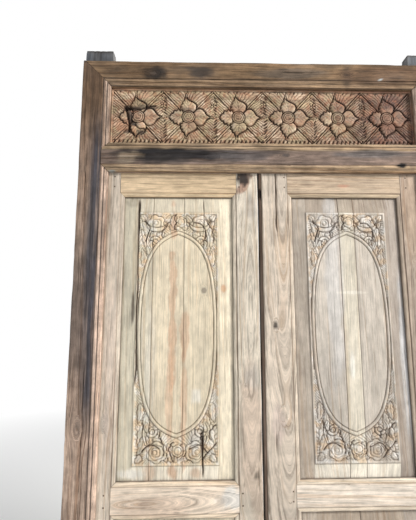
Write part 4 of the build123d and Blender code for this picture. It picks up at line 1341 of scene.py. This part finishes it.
def makeLeafRail(side, name):
    node = f"{side}_{name}_rail"
    z0, z1 = railRange(side, name)
    low, high = openingOf(side)
    mould = joinery["leafMoulding"]
    lowLine, highLine = name != "bottom", name != "top"

    def faceDepth(z):
        foot = leafProfile(z - z0) if lowLine else endRound(z - z0, 0.002)
        head = leafProfile(z1 - z) if highLine else endRound(z1 - z, 0.002)
        return foot + head

    def ends(z):
        reach = max(0.0, min(mould, (z - z0) if lowLine else mould, (z1 - z) if highLine else mould))
        if side == "right":  # the mitres of this leaf are worn round
            reach = mould * sin(min(1.0, reach / mould) * pi / 2) ** 0.8
        return low - reach, high + reach

    wood = dict(leafWoods[node], shade=leafRailShade(z0, z1, lowLine, highLine), relief=0.0008, waves=0.0011)
    edges = (mould + 0.002 if lowLine else 0.004, mould + 0.002 if highLine else 0.004)
    piece = levelMember(
        side + name.title() + "Rail", ((z0, z1), (leafFront, leafBack)), joinery["leafFrontLayer"], faceDepth,
        edges, ends, (z0, z1), (low, high), wood, leafMarks.get(node, ()), step=0.009,
    )
    return finishPiece(piece, f"{side}_leaf", "leaf_wood", node)


for side in ("left", "right"):
    for kind in ("hinge", "meeting"):
        makeStile(side, kind)
    for name in leafJoints:
        makeLeafRail(side, name)
print("leaf members made")

beadLow, beadHigh = box["right_meeting_bead"]


def beadShade(tint, across, depth, along):
    # Painted shadow: black beside the bead, where the gap between the leaves lies in shade.
    return mix(tint, (0.010, 0.007, 0.006), smoothStep(beadLow.x + 0.007, beadLow.x + 0.003, across) * 0.95)


beadMarks = [
    stain((-0.016, 1.752), (0.008, 0.024), (0.003, 0.002, 0.002), 1.0, 95, turn=0.2, ragged=0.5, soft=0.15),
    stain((-0.020, 1.40), (0.006, 0.35), (0.12, 0.085, 0.065), 0.6, 96),
]
beadWood = {
    # the bead's own brown, darkened with painted shade as it lies sunk between the leaves
    "colour": (0.27, 0.195, 0.15), "seed": 97, "shade": beadShade,
    "pith": (-0.2, leafFront + 0.1, 0.0, 0.01), "relief": 0.0008, "waves": 0.0012,
}
bead = blockPiece("meetingBead", beadLow, beadHigh, beadWood, beadMarks, step=0.003)
finishPiece(bead, "right_leaf", "leaf_wood", "right_meeting_bead")


# Panels of the leaves
panelLook = {
    "marginSide": 0.052, "marginTop": 0.059, "marginBottom": 0.050, "edgeDepth": 0.0135, "bevelTop": 0.005,
    "fieldTop": 0.002, "border": 0.007, "ground": 0.008, "ovalBand": 0.012, "ovalTopGap": 0.070,
    "ovalBottomGap": 0.088, "ovalSlope": 0.35, "fineStep": 0.0017, "coarseStep": 0.0045, "middleStep": 0.006,
    "fineMargin": 0.004, "plainSteps": (0.0042, 0.0075), "rim": 0.006, "carvedReach": 0.305,
    "backDepth": 0.026, "boardChamfer": 0.0016,
}


def fieldOf(x0, x1, z0, z1):
    # The raised field inside the bevels of a panel.
    look = panelLook
    return x0 + look["marginSide"], x1 - look["marginSide"], z0 + look["marginBottom"], z1 - look["marginTop"]


def bevelledFace(x, z, opening):
    # Bevels rising to the field: the depth, and how far inside the field each point is.
    look = panelLook
    x0, x1, z0, z1 = opening
    f0, f1, g0, g1 = fieldOf(*opening)
    sideSlope = np.minimum((x - x0) / (f0 - x0), (x1 - x) / (x1 - f1))
    slope = np.minimum(sideSlope, np.minimum((z - z0) / (g0 - z0), (z1 - z) / (z1 - g1)))
    depth = look["edgeDepth"] - (look["edgeDepth"] - look["bevelTop"]) * np.clip(slope, 0, 1)
    inset = insetIn(x, z, f0, f1, g0, g1)
    field = smoothStep(-0.0012, 0.0008, inset)
    return depth * (1 - field) + look["fieldTop"] * field, inset


def ovalLine(halfWidth, halfHeight, centre, count=26):
    # Pointed oval from one curve for each quarter, as in the solids.
    t = np.linspace(0, 1, count)[:, None]
    tip, side = np.array((0, halfHeight)), np.array((halfWidth, 0))
    shoulder = np.array((0.6 * halfWidth, halfHeight - 0.6 * halfWidth * panelLook["ovalSlope"]))
    waist = np.array((halfWidth, 0.8 * halfHeight))
    quarter = (1 - t) ** 3 * tip + 3 * (1 - t) ** 2 * t * shoulder + 3 * (1 - t) * t**2 * waist + t**3 * side
    right = np.vstack((quarter, quarter[-2::-1] * (1, -1)))
    return np.vstack((right, right[-2:0:-1] * (-1, 1))) + centre


# leaves along the border and beside the oval: base, tip, width, lobes and bend
sprayLeaves = (
    ((0.026, 0.128), (0.006, 0.058), 0.030, 3, 0.008),
    ((0.030, 0.088), (0.008, 0.026), 0.026, 3, 0.006),
    ((0.040, 0.160), (0.046, 0.096), 0.024, 3, -0.006),
    ((0.016, 0.196), (0.010, 0.132), 0.024, 3, 0.005),
    ((0.062, 0.084), (0.090, 0.070), 0.026, 2, 0.004),
    ((0.104, 0.046), (0.136, 0.010), 0.026, 3, 0.006),
    ((0.112, 0.060), (0.141, 0.036), 0.022, 2, -0.004),
    ((0.022, 0.026), (0.003, 0.003), 0.022, 2, 0.002),
    ((0.094, 0.030), (0.112, 0.004), 0.020, 2, 0.003),
)


def carveSpray(relief, corner, hand, up, rng):
    # Foliage of one corner: u runs in from the border, v away from the top or bottom border.
    d = panelLook["ground"]

    def place(p):
        return np.atleast_2d(p) * (hand, -up) + corner

    ends = np.vstack((place((0, 0)), place((0.146, 0.31))))
    rows, cols, x, z = windowOf(relief, ends, 0.0)
    u, v = (x - corner[0]) * hand, (z - corner[1]) * -up
    heart = np.array((0.060, 0.034) if up > 0 else (0.070, 0.036))
    # blades fan out from the flower, and further down they bend along the border
    fan = 44 * np.arctan2(v - heart[1], u - heart[0])
    feather = 2 * pi * (v + 0.55 * u + 0.010 * np.sin(u * 90)) / 0.0095
    combFill(relief, v < 0.118, fan, 0.42 * d, 0.0026, rows, cols, 0.5)
    combFill(relief, v >= 0.118, feather, 0.40 * d, 0.0028, rows, cols, 0.55)
    for leaf in sprayLeaves:
        cutLeaf(relief, Leaf(*leaf), 0.30 * d, place, edge=0.005, drop=0.003, ditch=0.0042, sink=0.0034)
    # stem from the flower down to the scroll beside the oval
    stem = curve([(0.040, 0.060), (0.032, 0.084), (0.030, 0.112), (0.040, 0.132)], 5)
    cutForm(relief, place(np.vstack((stem + (0.003, 0), (stem - (0.003, 0))[::-1]))), 0.24 * d, edge=0.003,
            drop=0.002, ditch=0.0036, sink=0.0034)
    scroll, share = (0.060, 0.104), np.linspace(0, 1, 22)
    turn = np.linspace(-0.9 * pi, 0.95 * pi, 22)
    radius = 0.0165 * (1 - 0.42 * share)
    spiral = np.stack((scroll[0] + radius * np.cos(turn), scroll[1] + radius * np.sin(turn)), -1)
    band = 0.0050 * (1 - 0.5 * share)[:, None]
    away = (spiral - scroll) / radius[:, None]
    cutForm(relief, place(np.vstack((spiral + away * band, (spiral - away * band)[::-1]))), 0.20 * d,
            edge=0.003, drop=0.0024, ditch=0.0038, sink=0.004)
    if up > 0:
        # flower seen from the side, over a crescent calyx
        cutForm(relief, place(lobedRing(heart, 0.029 + 0.003 * rng.random(), 5, 0.22)), 0.24 * d, edge=0.006,
                drop=0.003, ditch=0.0044, sink=0.004)
        cutForm(relief, place(lobedRing(heart + (0.002, 0.002), 0.017, 4, 0.20)), 0.16 * d, edge=0.005,
                drop=0.0026, ditch=0.0036, sink=0.0034)
        crescent = curve([(0.020, 0.022), (0.034, 0.044), (0.062, 0.052), (0.090, 0.046), (0.102, 0.034)], 5)
        lower = curve([(0.102, 0.034), (0.090, 0.058), (0.060, 0.066), (0.032, 0.056), (0.020, 0.022)], 5)
        cutForm(relief, place(np.vstack((crescent, lower))), 0.14 * d, edge=0.004, drop=0.0028, ditch=0.0044,
                sink=0.0042)
    else:
        # full rose: rings of petals round a small heart
        for radius, lobes, top in ((0.036, 6, 0.26), (0.025, 5, 0.19), (0.015, 4, 0.13)):
            cutForm(relief, place(lobedRing(heart + (0.001 * lobes, 0), radius, lobes, 0.16)), top * d,
                    edge=0.005, drop=0.0028, ditch=0.0040, sink=0.0038)
        cutForm(relief, place(ringOf((0.072, 0.118), 0.0085, 14)), 0.2 * d, edge=0.004, drop=0.0024,
                ditch=0.0036, sink=0.0034)
    cutForm(relief, place(ringOf(heart, 0.0070, 14)), 0.10 * d, edge=0.004, drop=0.0026, ditch=0.0034,
            sink=0.0034)
    for line, teeth in deepCuts[hand, up]:
        cutGroove(relief, place(serrated(line, teeth) if teeth else curve(line)), 0.0038, 0.0052, 1.0)


# The deepest cuts of each corner, darkened with painted shadow: a line and how many teeth it has
deepCuts = {
    (1, 1): (([(0.017, 0.024), (0.037, 0.050), (0.034, 0.067), (0.028, 0.088), (0.022, 0.103)], 0),
             ([(0.099, 0.045), (0.084, 0.071), (0.088, 0.090)], 3)),
    (-1, 1): (([(0.043, 0.021), (0.032, 0.041), (0.019, 0.062), (0.013, 0.101)], 5),
              ([(0.084, 0.032), (0.060, 0.037), (0.043, 0.058), (0.041, 0.080), (0.047, 0.099)], 0)),
    (1, -1): (([(0.026, 0.039), (0.041, 0.054), (0.064, 0.059), (0.084, 0.049)], 0),
              ([(0.084, 0.103), (0.082, 0.082), (0.092, 0.069), (0.098, 0.043), (0.099, 0.026)], 4),
              ([(0.026, 0.133), (0.030, 0.122), (0.028, 0.110)], 0)),
    (-1, -1): (([(0.097, 0.045), (0.060, 0.058), (0.034, 0.032)], 0),
               ([(0.052, 0.011), (0.034, 0.032), (0.004, 0.062)], 0), ([(0.054, 0.097), (0.056, 0.075)], 2),
               ([(0.004, 0.123), (0.026, 0.097), (0.022, 0.075)], 3)),
}


# the middle ornament at the top (1) and at the bottom (-1): place of its bud and the line of its torn leaf
middleForms = {
    1: ((0.011, 0.030),
        [(-0.007, 0.002), (-0.013, 0.017), (-0.004, 0.033), (-0.014, 0.047), (-0.006, 0.060)]),
    -1: ((0.006, 0.040), [(-0.007, 0.004), (-0.015, 0.026), (-0.022, 0.047), (-0.009, 0.068)]),
}


def carveMiddle(relief, middle, edge, up, d):
    # A round bud on the centre line, with a torn leaf at its left.
    def place(p):
        return np.atleast_2d(p) * (1, -up) + (middle, edge)

    bud, leaf = middleForms[up]
    cutLeaf(relief, Leaf((-0.016, 0.004), (-0.016, 0.058), 0.022, 4, 0.003), 0.26 * d, place, edge=0.004,
            drop=0.0026, ditch=0.0036, sink=0.0034)
    cutForm(relief, place(lobedRing(bud, 0.020, 6, 0.14)), 0.26 * d, edge=0.005, drop=0.0028, ditch=0.0038,
            sink=0.0036)
    cutForm(relief, place(ringOf(bud, 0.0115, 18)), 0.16 * d, edge=0.005, drop=0.0026, ditch=0.0034,
            sink=0.0032)
    # the torn leaf's deep cut, darkened with painted shadow
    cutGroove(relief, place(serrated(leaf, 4)), 0.0036, 0.0050, 1.0)


def carvePanel(side, opening, joints):
    look = panelLook
    x0, x1, z0, z1 = opening
    f0, f1, g0, g1 = fieldOf(*opening)
    rim, more, reach = look["rim"], look["fineMargin"], look["carvedReach"]
    fine, coarse = look["fineStep"], look["coarseStep"]
    x = gridOf(
        np.arange(x0 - rim, f0 - more, coarse), np.arange(f0 - more, f1 + more, fine),
        np.arange(f1 + more, x1 + rim, coarse), [x1 + rim], joints,
    )
    z = gridOf(
        np.arange(z0 - rim, g0 - more, coarse), np.arange(g0 - more, g0 + reach, fine),
        np.arange(g0 + reach, g1 - reach, look["middleStep"]),
        np.arange(g1 - reach, g1 + more, fine), np.arange(g1 + more, z1 + rim, coarse),
    )
    gridX, gridZ = np.meshgrid(x, z)
    depth, inset = bevelledFace(gridX, gridZ, opening)
    inner = inset - look["border"]
    sunk = smoothStep(-0.0008, 0.0012, inner)
    depth = depth * (1 - sunk) + look["ground"] * sunk
    relief = newRelief(x, z, depth)
    # painted shade in the creases at the field's edge and at the border line
    relief["dirtAndShadow"] = 0.45 * fadeOut(abs(inset + 0.0012), 0.002) + 0.6 * fadeOut(abs(inner - 0.001), 0.0024)
    relief["shadow"] = 0.46
    rng = np.random.default_rng(4 if side == "left" else 9)
    b = look["border"]
    for up, cornerZ in ((1, g1 - b), (-1, g0 + b)):
        for hand, cornerX in ((1, f0 + b), (-1, f1 - b)):
            carveSpray(relief, np.array((cornerX, cornerZ)), hand, up, rng)
    middle = (f0 + f1) / 2
    carveMiddle(relief, middle, g1 - b, 1, look["ground"])
    carveMiddle(relief, middle, g0 + b, -1, look["ground"])
    # rim between the border line and the carving stays flat
    keep = smoothStep(0.0008, -0.0008, inner)
    relief["depth"] = relief["depth"] * (1 - keep) + depth * keep
    relief["dirtAndShadow"] *= 1 - 0.85 * keep * (inset > 0.001)
    carveOval(relief, fieldOf(*opening), inner)
    return relief


def carveOval(relief, field, inner):
    # Sunk lines on both sides of a round band, darkened with painted shadow, and a nearly flat field in it.
    look = panelLook
    f0, f1, g0, g1 = field
    x, z = np.meshgrid(relief["x"], relief["z"])
    w = look["ovalBand"]
    halfW = (f1 - f0) / 2 - look["border"]
    halfH = (g1 - g0 - look["ovalTopGap"] - look["ovalBottomGap"]) / 2
    centre = np.array(((f0 + f1) / 2, g0 + look["ovalBottomGap"] + halfH))
    outer, innerLine = ovalLine(halfW, halfH, centre), ovalLine(halfW - w, halfH - 1.2 * w, centre)
    middleLine = ovalLine(halfW - w / 2, halfH - 0.6 * w, centre)
    away = lineDistance(x, z, np.vstack((middleLine, middleLine[:1])))
    inOuter, inInner = insideOf(x, z, outer), insideOf(x, z, innerLine)
    band = 0.0021 + 0.0030 * (away / (w / 2)) ** 2.4
    edgeIn = lineDistance(x, z, np.vstack((innerLine, innerLine[:1])))
    edgeOut = lineDistance(x, z, np.vstack((outer, outer[:1])))
    flat = 0.0042 - 0.0012 * smoothStep(0, 0.06, edgeIn)
    depth = np.where(inInner, flat, np.where(inOuter, band, relief["depth"]))
    depth = depth + 0.0032 * fadeOut(edgeIn, 0.0026) + 0.0026 * fadeOut(edgeOut, 0.0026) * (inner > 0.001)
    relief["depth"] = depth
    lines = np.maximum(fadeOut(edgeIn, 0.0024), fadeOut(edgeOut, 0.0026) * (inner > -0.001))
    relief["dirtAndShadow"] = np.where(inOuter, 0, relief["dirtAndShadow"])
    relief["dirtAndShadow"] = np.maximum(relief["dirtAndShadow"], 0.6 * lines)


def plainPanel(opening, joints):
    x0, x1, z0, z1 = opening
    f0, f1, g0, g1 = fieldOf(*opening)
    rim, (stepX, stepZ) = panelLook["rim"], panelLook["plainSteps"]
    arris = np.array((-0.0012, 0.0008))
    x = gridOf(np.arange(x0 - rim, x1 + rim, stepX), f0 + arris, f1 - arris, [x1 + rim], joints)
    z = gridOf(np.arange(z0 - rim, z1 + rim, stepZ), g0 + arris, g1 - arris, [z1 + rim])
    depth, inset = bevelledFace(*np.meshgrid(x, z), opening)
    relief = newRelief(x, z, depth)
    # painted shade in the crease at the field's edge
    relief["dirtAndShadow"] = 0.6 * fadeOut(abs(inset + 0.0012), 0.003)
    return relief


# painted light and shade of a panel's left, right and upper bevels, by the way each faces the light
bevelLightAndShade = {
    "left": ((0.66, 0.60, 0.47), (0.82, 0.73, 0.57), (0.68, 0.61, 0.48)),
    "right": ((0.46, 0.39, 0.32), (0.33, 0.28, 0.24), (0.34, 0.275, 0.215)),
}


def panelShade(side, opening):
    look = panelLook
    x0, x1, z0, z1 = opening
    f0, f1, g0, g1 = fieldOf(*opening)
    bevelLight = bevelLightAndShade[side]

    def shade(tint, x, depth, z):
        inset = insetIn(x, z, f0, f1, g0, g1)
        # painted light and shade on the bevels by the way each faces; the lower bevel gets a painted
        # highlight
        flank = smoothStep(0.001, -0.001, np.minimum(x - f0, f1 - x))
        tint = mix(tint, bevelLight[0], flank * (x < (x0 + x1) / 2) * 0.8)
        tint = mix(tint, bevelLight[1], flank * (x > (x0 + x1) / 2) * 0.8)
        level = smoothStep(-0.001, -0.003, np.minimum(z - g0, g1 - z)) * (1 - flank)
        under = (z < (z0 + z1) / 2) * 1.0
        tint = mix(tint, bevelLight[2], level * (1 - under) * 0.8)
        tint = mix(tint, (0.92, 0.85, 0.72), level * under * 0.7)
        # painted shadow along the edge of the opening, where the panel meets the stiles and rails
        edge = insetIn(x, z, x0, x1, z0, z1)
        tint = mix(tint, (0.06, 0.045, 0.035), smoothStep(0.004, 0.0, edge) * 0.8)
        # warm and pale patches on the carved corners
        halfField = (f1 - f0) / 2
        middleZ = (g0 + g1) / 2 + (look["ovalBottomGap"] - look["ovalTopGap"]) / 2
        halfHigh = (g1 - g0 - look["ovalBottomGap"] - look["ovalTopGap"]) / 2
        fromOval = np.hypot((x - (f0 + f1) / 2) / halfField, (z - middleZ) / halfHigh)
        carved = smoothStep(0.97, 1.03, fromOval) * smoothStep(0.0, 0.003, inset)
        warm = smoothStep(0.46, 0.62, layeredNoise(x * 42, z * 42, 61, 3))
        pale = smoothStep(0.50, 0.66, layeredNoise(x * 60, z * 60, 64, 3))
        brown = np.asarray((0.84, 0.60, 0.38)) * tint.mean(-1, keepdims=True) * 1.62
        tint = mix(tint, brown, carved * warm * 0.55)
        tint = mix(tint, (0.90, 0.89, 0.86), carved * pale * 0.42)
        deep = smoothStep(0.006, 0.010, depth) * smoothStep(0.0, 0.003, inset)
        return mix(tint, (0.38, 0.27, 0.19), deep * 0.38)
    return shade


boardWoods = {
    "left_carved_board_1": {
        "colour": (0.69, 0.60, 0.45), "seed": 101, "pith": (-0.05, leafFront + 0.16, 0.0, -0.05),
        "knots": [(1.388, -0.231, 0.009)],
        "cracks": [(-0.236, 0.742, 0.90, 0.0042, 0.010), (-0.232, 1.60, 1.74, 0.0022, 0.004)],
    },
    "left_carved_board_2": {
        "colour": (0.735, 0.635, 0.475), "seed": 102, "pith": (-0.22, leafFront + 0.08, 0.0, 0.015),
    },
    "left_carved_board_3": {
        "colour": (0.67, 0.605, 0.475), "seed": 103, "pith": (-0.62, leafFront + 0.09, 0.0, 0.02),
        "cracks": [(-0.4735, 1.05, 1.735, 0.0036, 0.009), (-0.4745, 1.60, 1.735, 0.006, 0.006)],
    },
    "right_carved_board_1": {
        "colour": (0.535, 0.48, 0.415), "seed": 111, "pith": (0.04, leafFront + 0.12, 0.0, 0.03),
    },
    "right_carved_board_2": {
        "colour": (0.615, 0.56, 0.46), "seed": 112, "pith": (0.50, leafFront + 0.10, 0.0, 0.02),
        "set": -0.0006,
    },
    "right_carved_board_3": {
        "colour": (0.52, 0.465, 0.40), "seed": 113, "pith": (0.55, leafFront + 0.14, 0.0, -0.04),
    },
    "left_lower_board_1": {
        "colour": (0.62, 0.53, 0.41), "seed": 121, "pith": (-0.05, leafFront + 0.12, 0.0, 0.05),
    },
    "left_lower_board_2": {
        "colour": (0.60, 0.50, 0.38), "seed": 122, "pith": (-0.70, leafFront + 0.12, 0.0, 0.04),
    },
    "right_lower_board_1": {
        "colour": (0.57, 0.49, 0.40), "seed": 131, "pith": (0.02, leafFront + 0.10, 0.0, 0.06),
    },
    "right_lower_board_2": {
        "colour": (0.55, 0.47, 0.38), "seed": 132, "pith": (0.56, leafFront + 0.13, 0.0, -0.03),
    },
}
orange = (0.62, 0.41, 0.275)
panelMarks = {
    "left": [
        stain((-0.345, 1.30), (0.0135, 0.33), orange, 0.66, 141, ragged=1.6, soft=0.18, fine=40, long=26),
        stain((-0.300, 1.22), (0.016, 0.08), orange, 0.62, 142, ragged=1.2, soft=0.18, fine=40, long=26),
        stain((-0.352, 1.00), (0.011, 0.20), orange, 0.52, 143, ragged=1.4, soft=0.18, fine=40, long=30),
        stain((-0.302, 0.98), (0.011, 0.18), orange, 0.58, 144, ragged=1.4, soft=0.18, fine=40, long=30),
        stain((-0.340, 0.772), (0.014, 0.030), orange, 0.8, 145, ragged=1.0),
        stain((-0.415, 0.768), (0.020, 0.026), orange, 0.5, 146, ragged=1.0),
        stain((-0.258, 0.765), (0.022, 0.020), orange, 0.6, 147, ragged=1.0),
        stain((-0.160, 1.395), (0.010, 0.016), (0.66, 0.36, 0.20), 0.7, 148, ragged=0.9),
        stain((-0.231, 1.388), (0.010, 0.012), (0.20, 0.17, 0.14), 0.8, 149),
        stain((-0.258, 0.875), (0.020, 0.030), (0.68, 0.645, 0.59), 0.7, 150, ragged=0.9),
        stain((-0.2365, 0.868), (0.0055, 0.036), (0.08, 0.07, 0.065), 0.85, 156, ragged=1.4),
        stain((-0.258, 1.02), (0.016, 0.022), (0.76, 0.73, 0.66), 0.6, 151, square=True, ragged=0.5),
        stain((-0.480, 0.764), (0.045, 0.016), (0.80, 0.76, 0.68), 0.8, 152, ragged=0.9),
        stain((-0.488, 1.33), (0.006, 0.05), (0.07, 0.06, 0.05), 0.8, 153, ragged=1.4),
        stain((-0.500, 1.72), (0.03, 0.02), (0.30, 0.26, 0.20), 0.5, 154),
        stain((-0.42, 1.1), (0.018, 0.20), (0.70, 0.66, 0.58), 0.35, 155),
    ],
    "right": [
        stain((0.25, 1.45), (0.03, 0.35), (0.60, 0.58, 0.56), 0.6, 161, ragged=1.0),
        stain((0.20, 1.05), (0.04, 0.12), (0.42, 0.38, 0.34), 0.35, 162),
        stain((0.31, 1.38), (0.055, 0.006), (0.76, 0.72, 0.64), 0.6, 163, ragged=0.8, fine=20, long=100),
        stain((0.50, 1.15), (0.02, 0.25), (0.60, 0.62, 0.64), 0.6, 164),
        stain((0.30, 1.12), (0.008, 0.05), (0.78, 0.76, 0.70), 0.6, 165),
        stain((0.38, 0.86), (0.05, 0.06), (0.42, 0.34, 0.26), 0.4, 166),
    ],
}


def makeBoards(side, kind):
    carved = kind == "carved"
    rails = {name: railRange(side, name) for name in leafJoints}
    z0, z1 = (rails["mid"][1], rails["top"][0]) if carved else (rails["bottom"][1], rails["mid"][0])
    opening = (*openingOf(side), z0, z1)
    nodes = sorted((n for n in box if n.startswith(f"{side}_{kind}_board")), key=lambda n: box[n][0].x)
    joints = [box[n][1].x for n in nodes[:-1]]
    relief = carvePanel(side, opening, joints) if carved else plainPanel(opening, joints)
    marks = panelMarks[side] if carved else ()
    edges = [0] + [int(np.argmin(abs(relief["x"] - joint))) for joint in joints] + [len(relief["x"]) - 1]
    for node, first, last in zip(nodes, edges, edges[1:]):
        wood = dict(boardWoods[node], shade=panelShade(side, opening))
        name = side + kind.title() + "Board" + node[-1]
        cols, chamfer = slice(first, last + 1), panelLook["boardChamfer"]
        backY = leafFront + panelLook["backDepth"]
        piece = boardPiece(name, relief, cols, backY, leafFront, wood, marks, chamfer)
        finishPiece(piece, f"{side}_leaf", "panel_wood", node)


for side in ("left", "right"):
    for kind in ("carved", "lower"):
        makeBoards(side, kind)
print("panels made")

# Pegs and pins keep their solids and take an end-grain finish
pegLook = {
    "brown": (0.17, 0.115, 0.075, 1), "dark": (0.035, 0.024, 0.018, 1), "fine": (260, 90, 260), "detail": 4.0,
    "darkUpTo": 0.35, "brownFrom": 0.65, "bump": 0.6, "bumpDepth": 0.0008, "rough": 0.82,
}


def pegMaterial():
    material = bpy.data.materials.new("peg_wood")
    material.use_nodes = True
    nodes, links = material.node_tree.nodes, material.node_tree.links
    shader = nodes["Principled BSDF"]
    kinds = ("TexCoord", "Mapping", "TexNoise", "ValToRGB", "Bump")
    where, stretch, noise, colours, bump = [nodes.new("ShaderNode" + kind) for kind in kinds]
    stretch.inputs["Scale"].default_value = pegLook["fine"]
    noise.inputs["Scale"].default_value = 1.0
    noise.inputs["Detail"].default_value = pegLook["detail"]
    darkEnd, brownEnd = colours.color_ramp.elements
    darkEnd.position, darkEnd.color = pegLook["darkUpTo"], pegLook["dark"]
    brownEnd.position, brownEnd.color = pegLook["brownFrom"], pegLook["brown"]
    bump.inputs["Strength"].default_value = pegLook["bump"]
    bump.inputs["Distance"].default_value = pegLook["bumpDepth"]
    shader.inputs["Roughness"].default_value = pegLook["rough"]
    links.new(where.outputs["Object"], stretch.inputs["Vector"])
    links.new(stretch.outputs["Vector"], noise.inputs["Vector"])
    links.new(noise.outputs["Fac"], colours.inputs["Fac"])
    links.new(noise.outputs["Fac"], bump.inputs["Height"])
    links.new(colours.outputs["Color"], shader.inputs["Base Color"])
    links.new(bump.outputs["Normal"], shader.inputs["Normal"])
    return material


pegWood = pegMaterial()
for node in ("frame_pegs", "left_tenon_pins", "right_tenon_pins"):
    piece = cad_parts[node]
    piece.data.materials.clear()
    piece.data.materials.append(pegWood)

# Floor, light and camera
stageLook = {
    "floorSize": 40.0, "floorColour": (0.90, 0.90, 0.89), "floorRough": 0.9, "fade": (1.8, 5.5),
    "background": 1.0, "ambient": 0.44, "ambientColour": (0.97, 0.985, 1.0),
}


def seenStraight(nodes, links):
    # 1 for rays from the camera, off a mirror or through glass: they see the plain background.
    rays = nodes.new("ShaderNodeLightPath")
    share = rays.outputs["Is Camera Ray"]
    for kind in ("Is Glossy Ray", "Is Transmission Ray"):
        either = nodes.new("ShaderNodeMath")
        either.operation = "MAXIMUM"
        links.new(share, either.inputs[0])
        links.new(rays.outputs[kind], either.inputs[1])
        share = either.outputs[0]
    return share


def chooseShader(nodes, links, share, one, other, target):
    # Mixes two shaders by the share and plugs the result in.
    choose = nodes.new("ShaderNodeMixShader")
    for source, socket in zip((share, one.outputs[0], other.outputs[0]), choose.inputs):
        links.new(source, socket)
    links.new(choose.outputs[0], target)


bpy.ops.mesh.primitive_plane_add(size=stageLook["floorSize"], location=(0, 0, 0))
floor = bpy.context.object
floor.name = "floor"
floorMaterial = bpy.data.materials.new("floorPaint")
floorMaterial.use_nodes = True
nodes, links = floorMaterial.node_tree.nodes, floorMaterial.node_tree.links
paper = nodes["Principled BSDF"]
paper.inputs["Base Color"].default_value = (*stageLook["floorColour"], 1)
paper.inputs["Roughness"].default_value = stageLook["floorRough"]
# far from the door the floor turns into the white background
where, far, fade = [nodes.new("ShaderNode" + kind) for kind in ("TexCoord", "VectorMath", "MapRange")]
far.operation = "LENGTH"
fade.inputs["From Min"].default_value, fade.inputs["From Max"].default_value = stageLook["fade"]
share = nodes.new("ShaderNodeMath")
share.operation = "MULTIPLY"
links.new(where.outputs["Object"], far.inputs[0])
links.new(far.outputs["Value"], fade.inputs["Value"])
links.new(seenStraight(nodes, links), share.inputs[0])
links.new(fade.outputs["Result"], share.inputs[1])
blank = nodes.new("ShaderNodeEmission")
chooseShader(nodes, links, share.outputs[0], paper, blank, nodes["Material Output"].inputs["Surface"])
floor.data.materials.append(floorMaterial)

scene = bpy.context.scene
scene.world = scene.world or bpy.data.worlds.new("studio")
scene.world.use_nodes = True
nodes, links = scene.world.node_tree.nodes, scene.world.node_tree.links
nodes.clear()
soft, white = nodes.new("ShaderNodeBackground"), nodes.new("ShaderNodeBackground")
soft.inputs["Color"].default_value = (*stageLook["ambientColour"], 1)
white.inputs["Color"].default_value = (1, 1, 1, 1)
soft.inputs["Strength"].default_value = stageLook["ambient"]
white.inputs["Strength"].default_value = stageLook["background"]
worldOut = nodes.new("ShaderNodeOutputWorld")
chooseShader(nodes, links, seenStraight(nodes, links), soft, white, worldOut.inputs[0])

lamps = {
    "key": {
        "at": (3.0, -1.9, 3.2), "aim": (0, 0, 1.35), "size": 0.8, "power": 175, "colour": (1.0, 0.98, 0.955),
    },
    "fill": {
        "at": (-2.4, -2.4, 1.6), "aim": (0, 0, 1.2), "size": 2.6, "power": 18, "colour": (0.92, 0.96, 1.0),
    },
    "rear": {
        "at": (1.4, 3.0, 2.8), "aim": (0, 0, 1.2), "size": 2.0, "power": 60, "colour": (1.0, 0.98, 0.95),
    },
}
for name, lamp in lamps.items():
    light = bpy.data.lights.new(name, "AREA")
    light.size, light.energy, light.color = lamp["size"], lamp["power"], lamp["colour"]
    holder = bpy.data.objects.new(name, light)
    holder.location = lamp["at"]
    away = holder.location - Vector(lamp["aim"])
    holder.rotation_euler = away.to_track_quat("Z", "Y").to_euler()
    scene.collection.objects.link(holder)

cameraPlace = {
    "at": (-0.225, -1.557, 1.277), "turn": (99.17, 0.23, -1.60),
    "focalPixels": 420.4, "middle": (217.6, 253.4), "image": (416, 520),
}
lens = bpy.data.cameras.new("camera")
camera = bpy.data.objects.new("camera", lens)
scene.collection.objects.link(camera)
camera.location = cameraPlace["at"]
camera.rotation_euler = Euler([radians(angle) for angle in cameraPlace["turn"]])
imageWide, imageHigh = cameraPlace["image"]
longSide = max(imageWide, imageHigh)
lens.lens = cameraPlace["focalPixels"] / longSide * lens.sensor_width
lens.shift_x = (imageWide / 2 - cameraPlace["middle"][0]) / longSide
lens.shift_y = (cameraPlace["middle"][1] - imageHigh / 2) / longSide
lens.clip_start = 0.05
scene.camera = camera
scene.view_settings.view_transform = "Standard"
print("stage set")
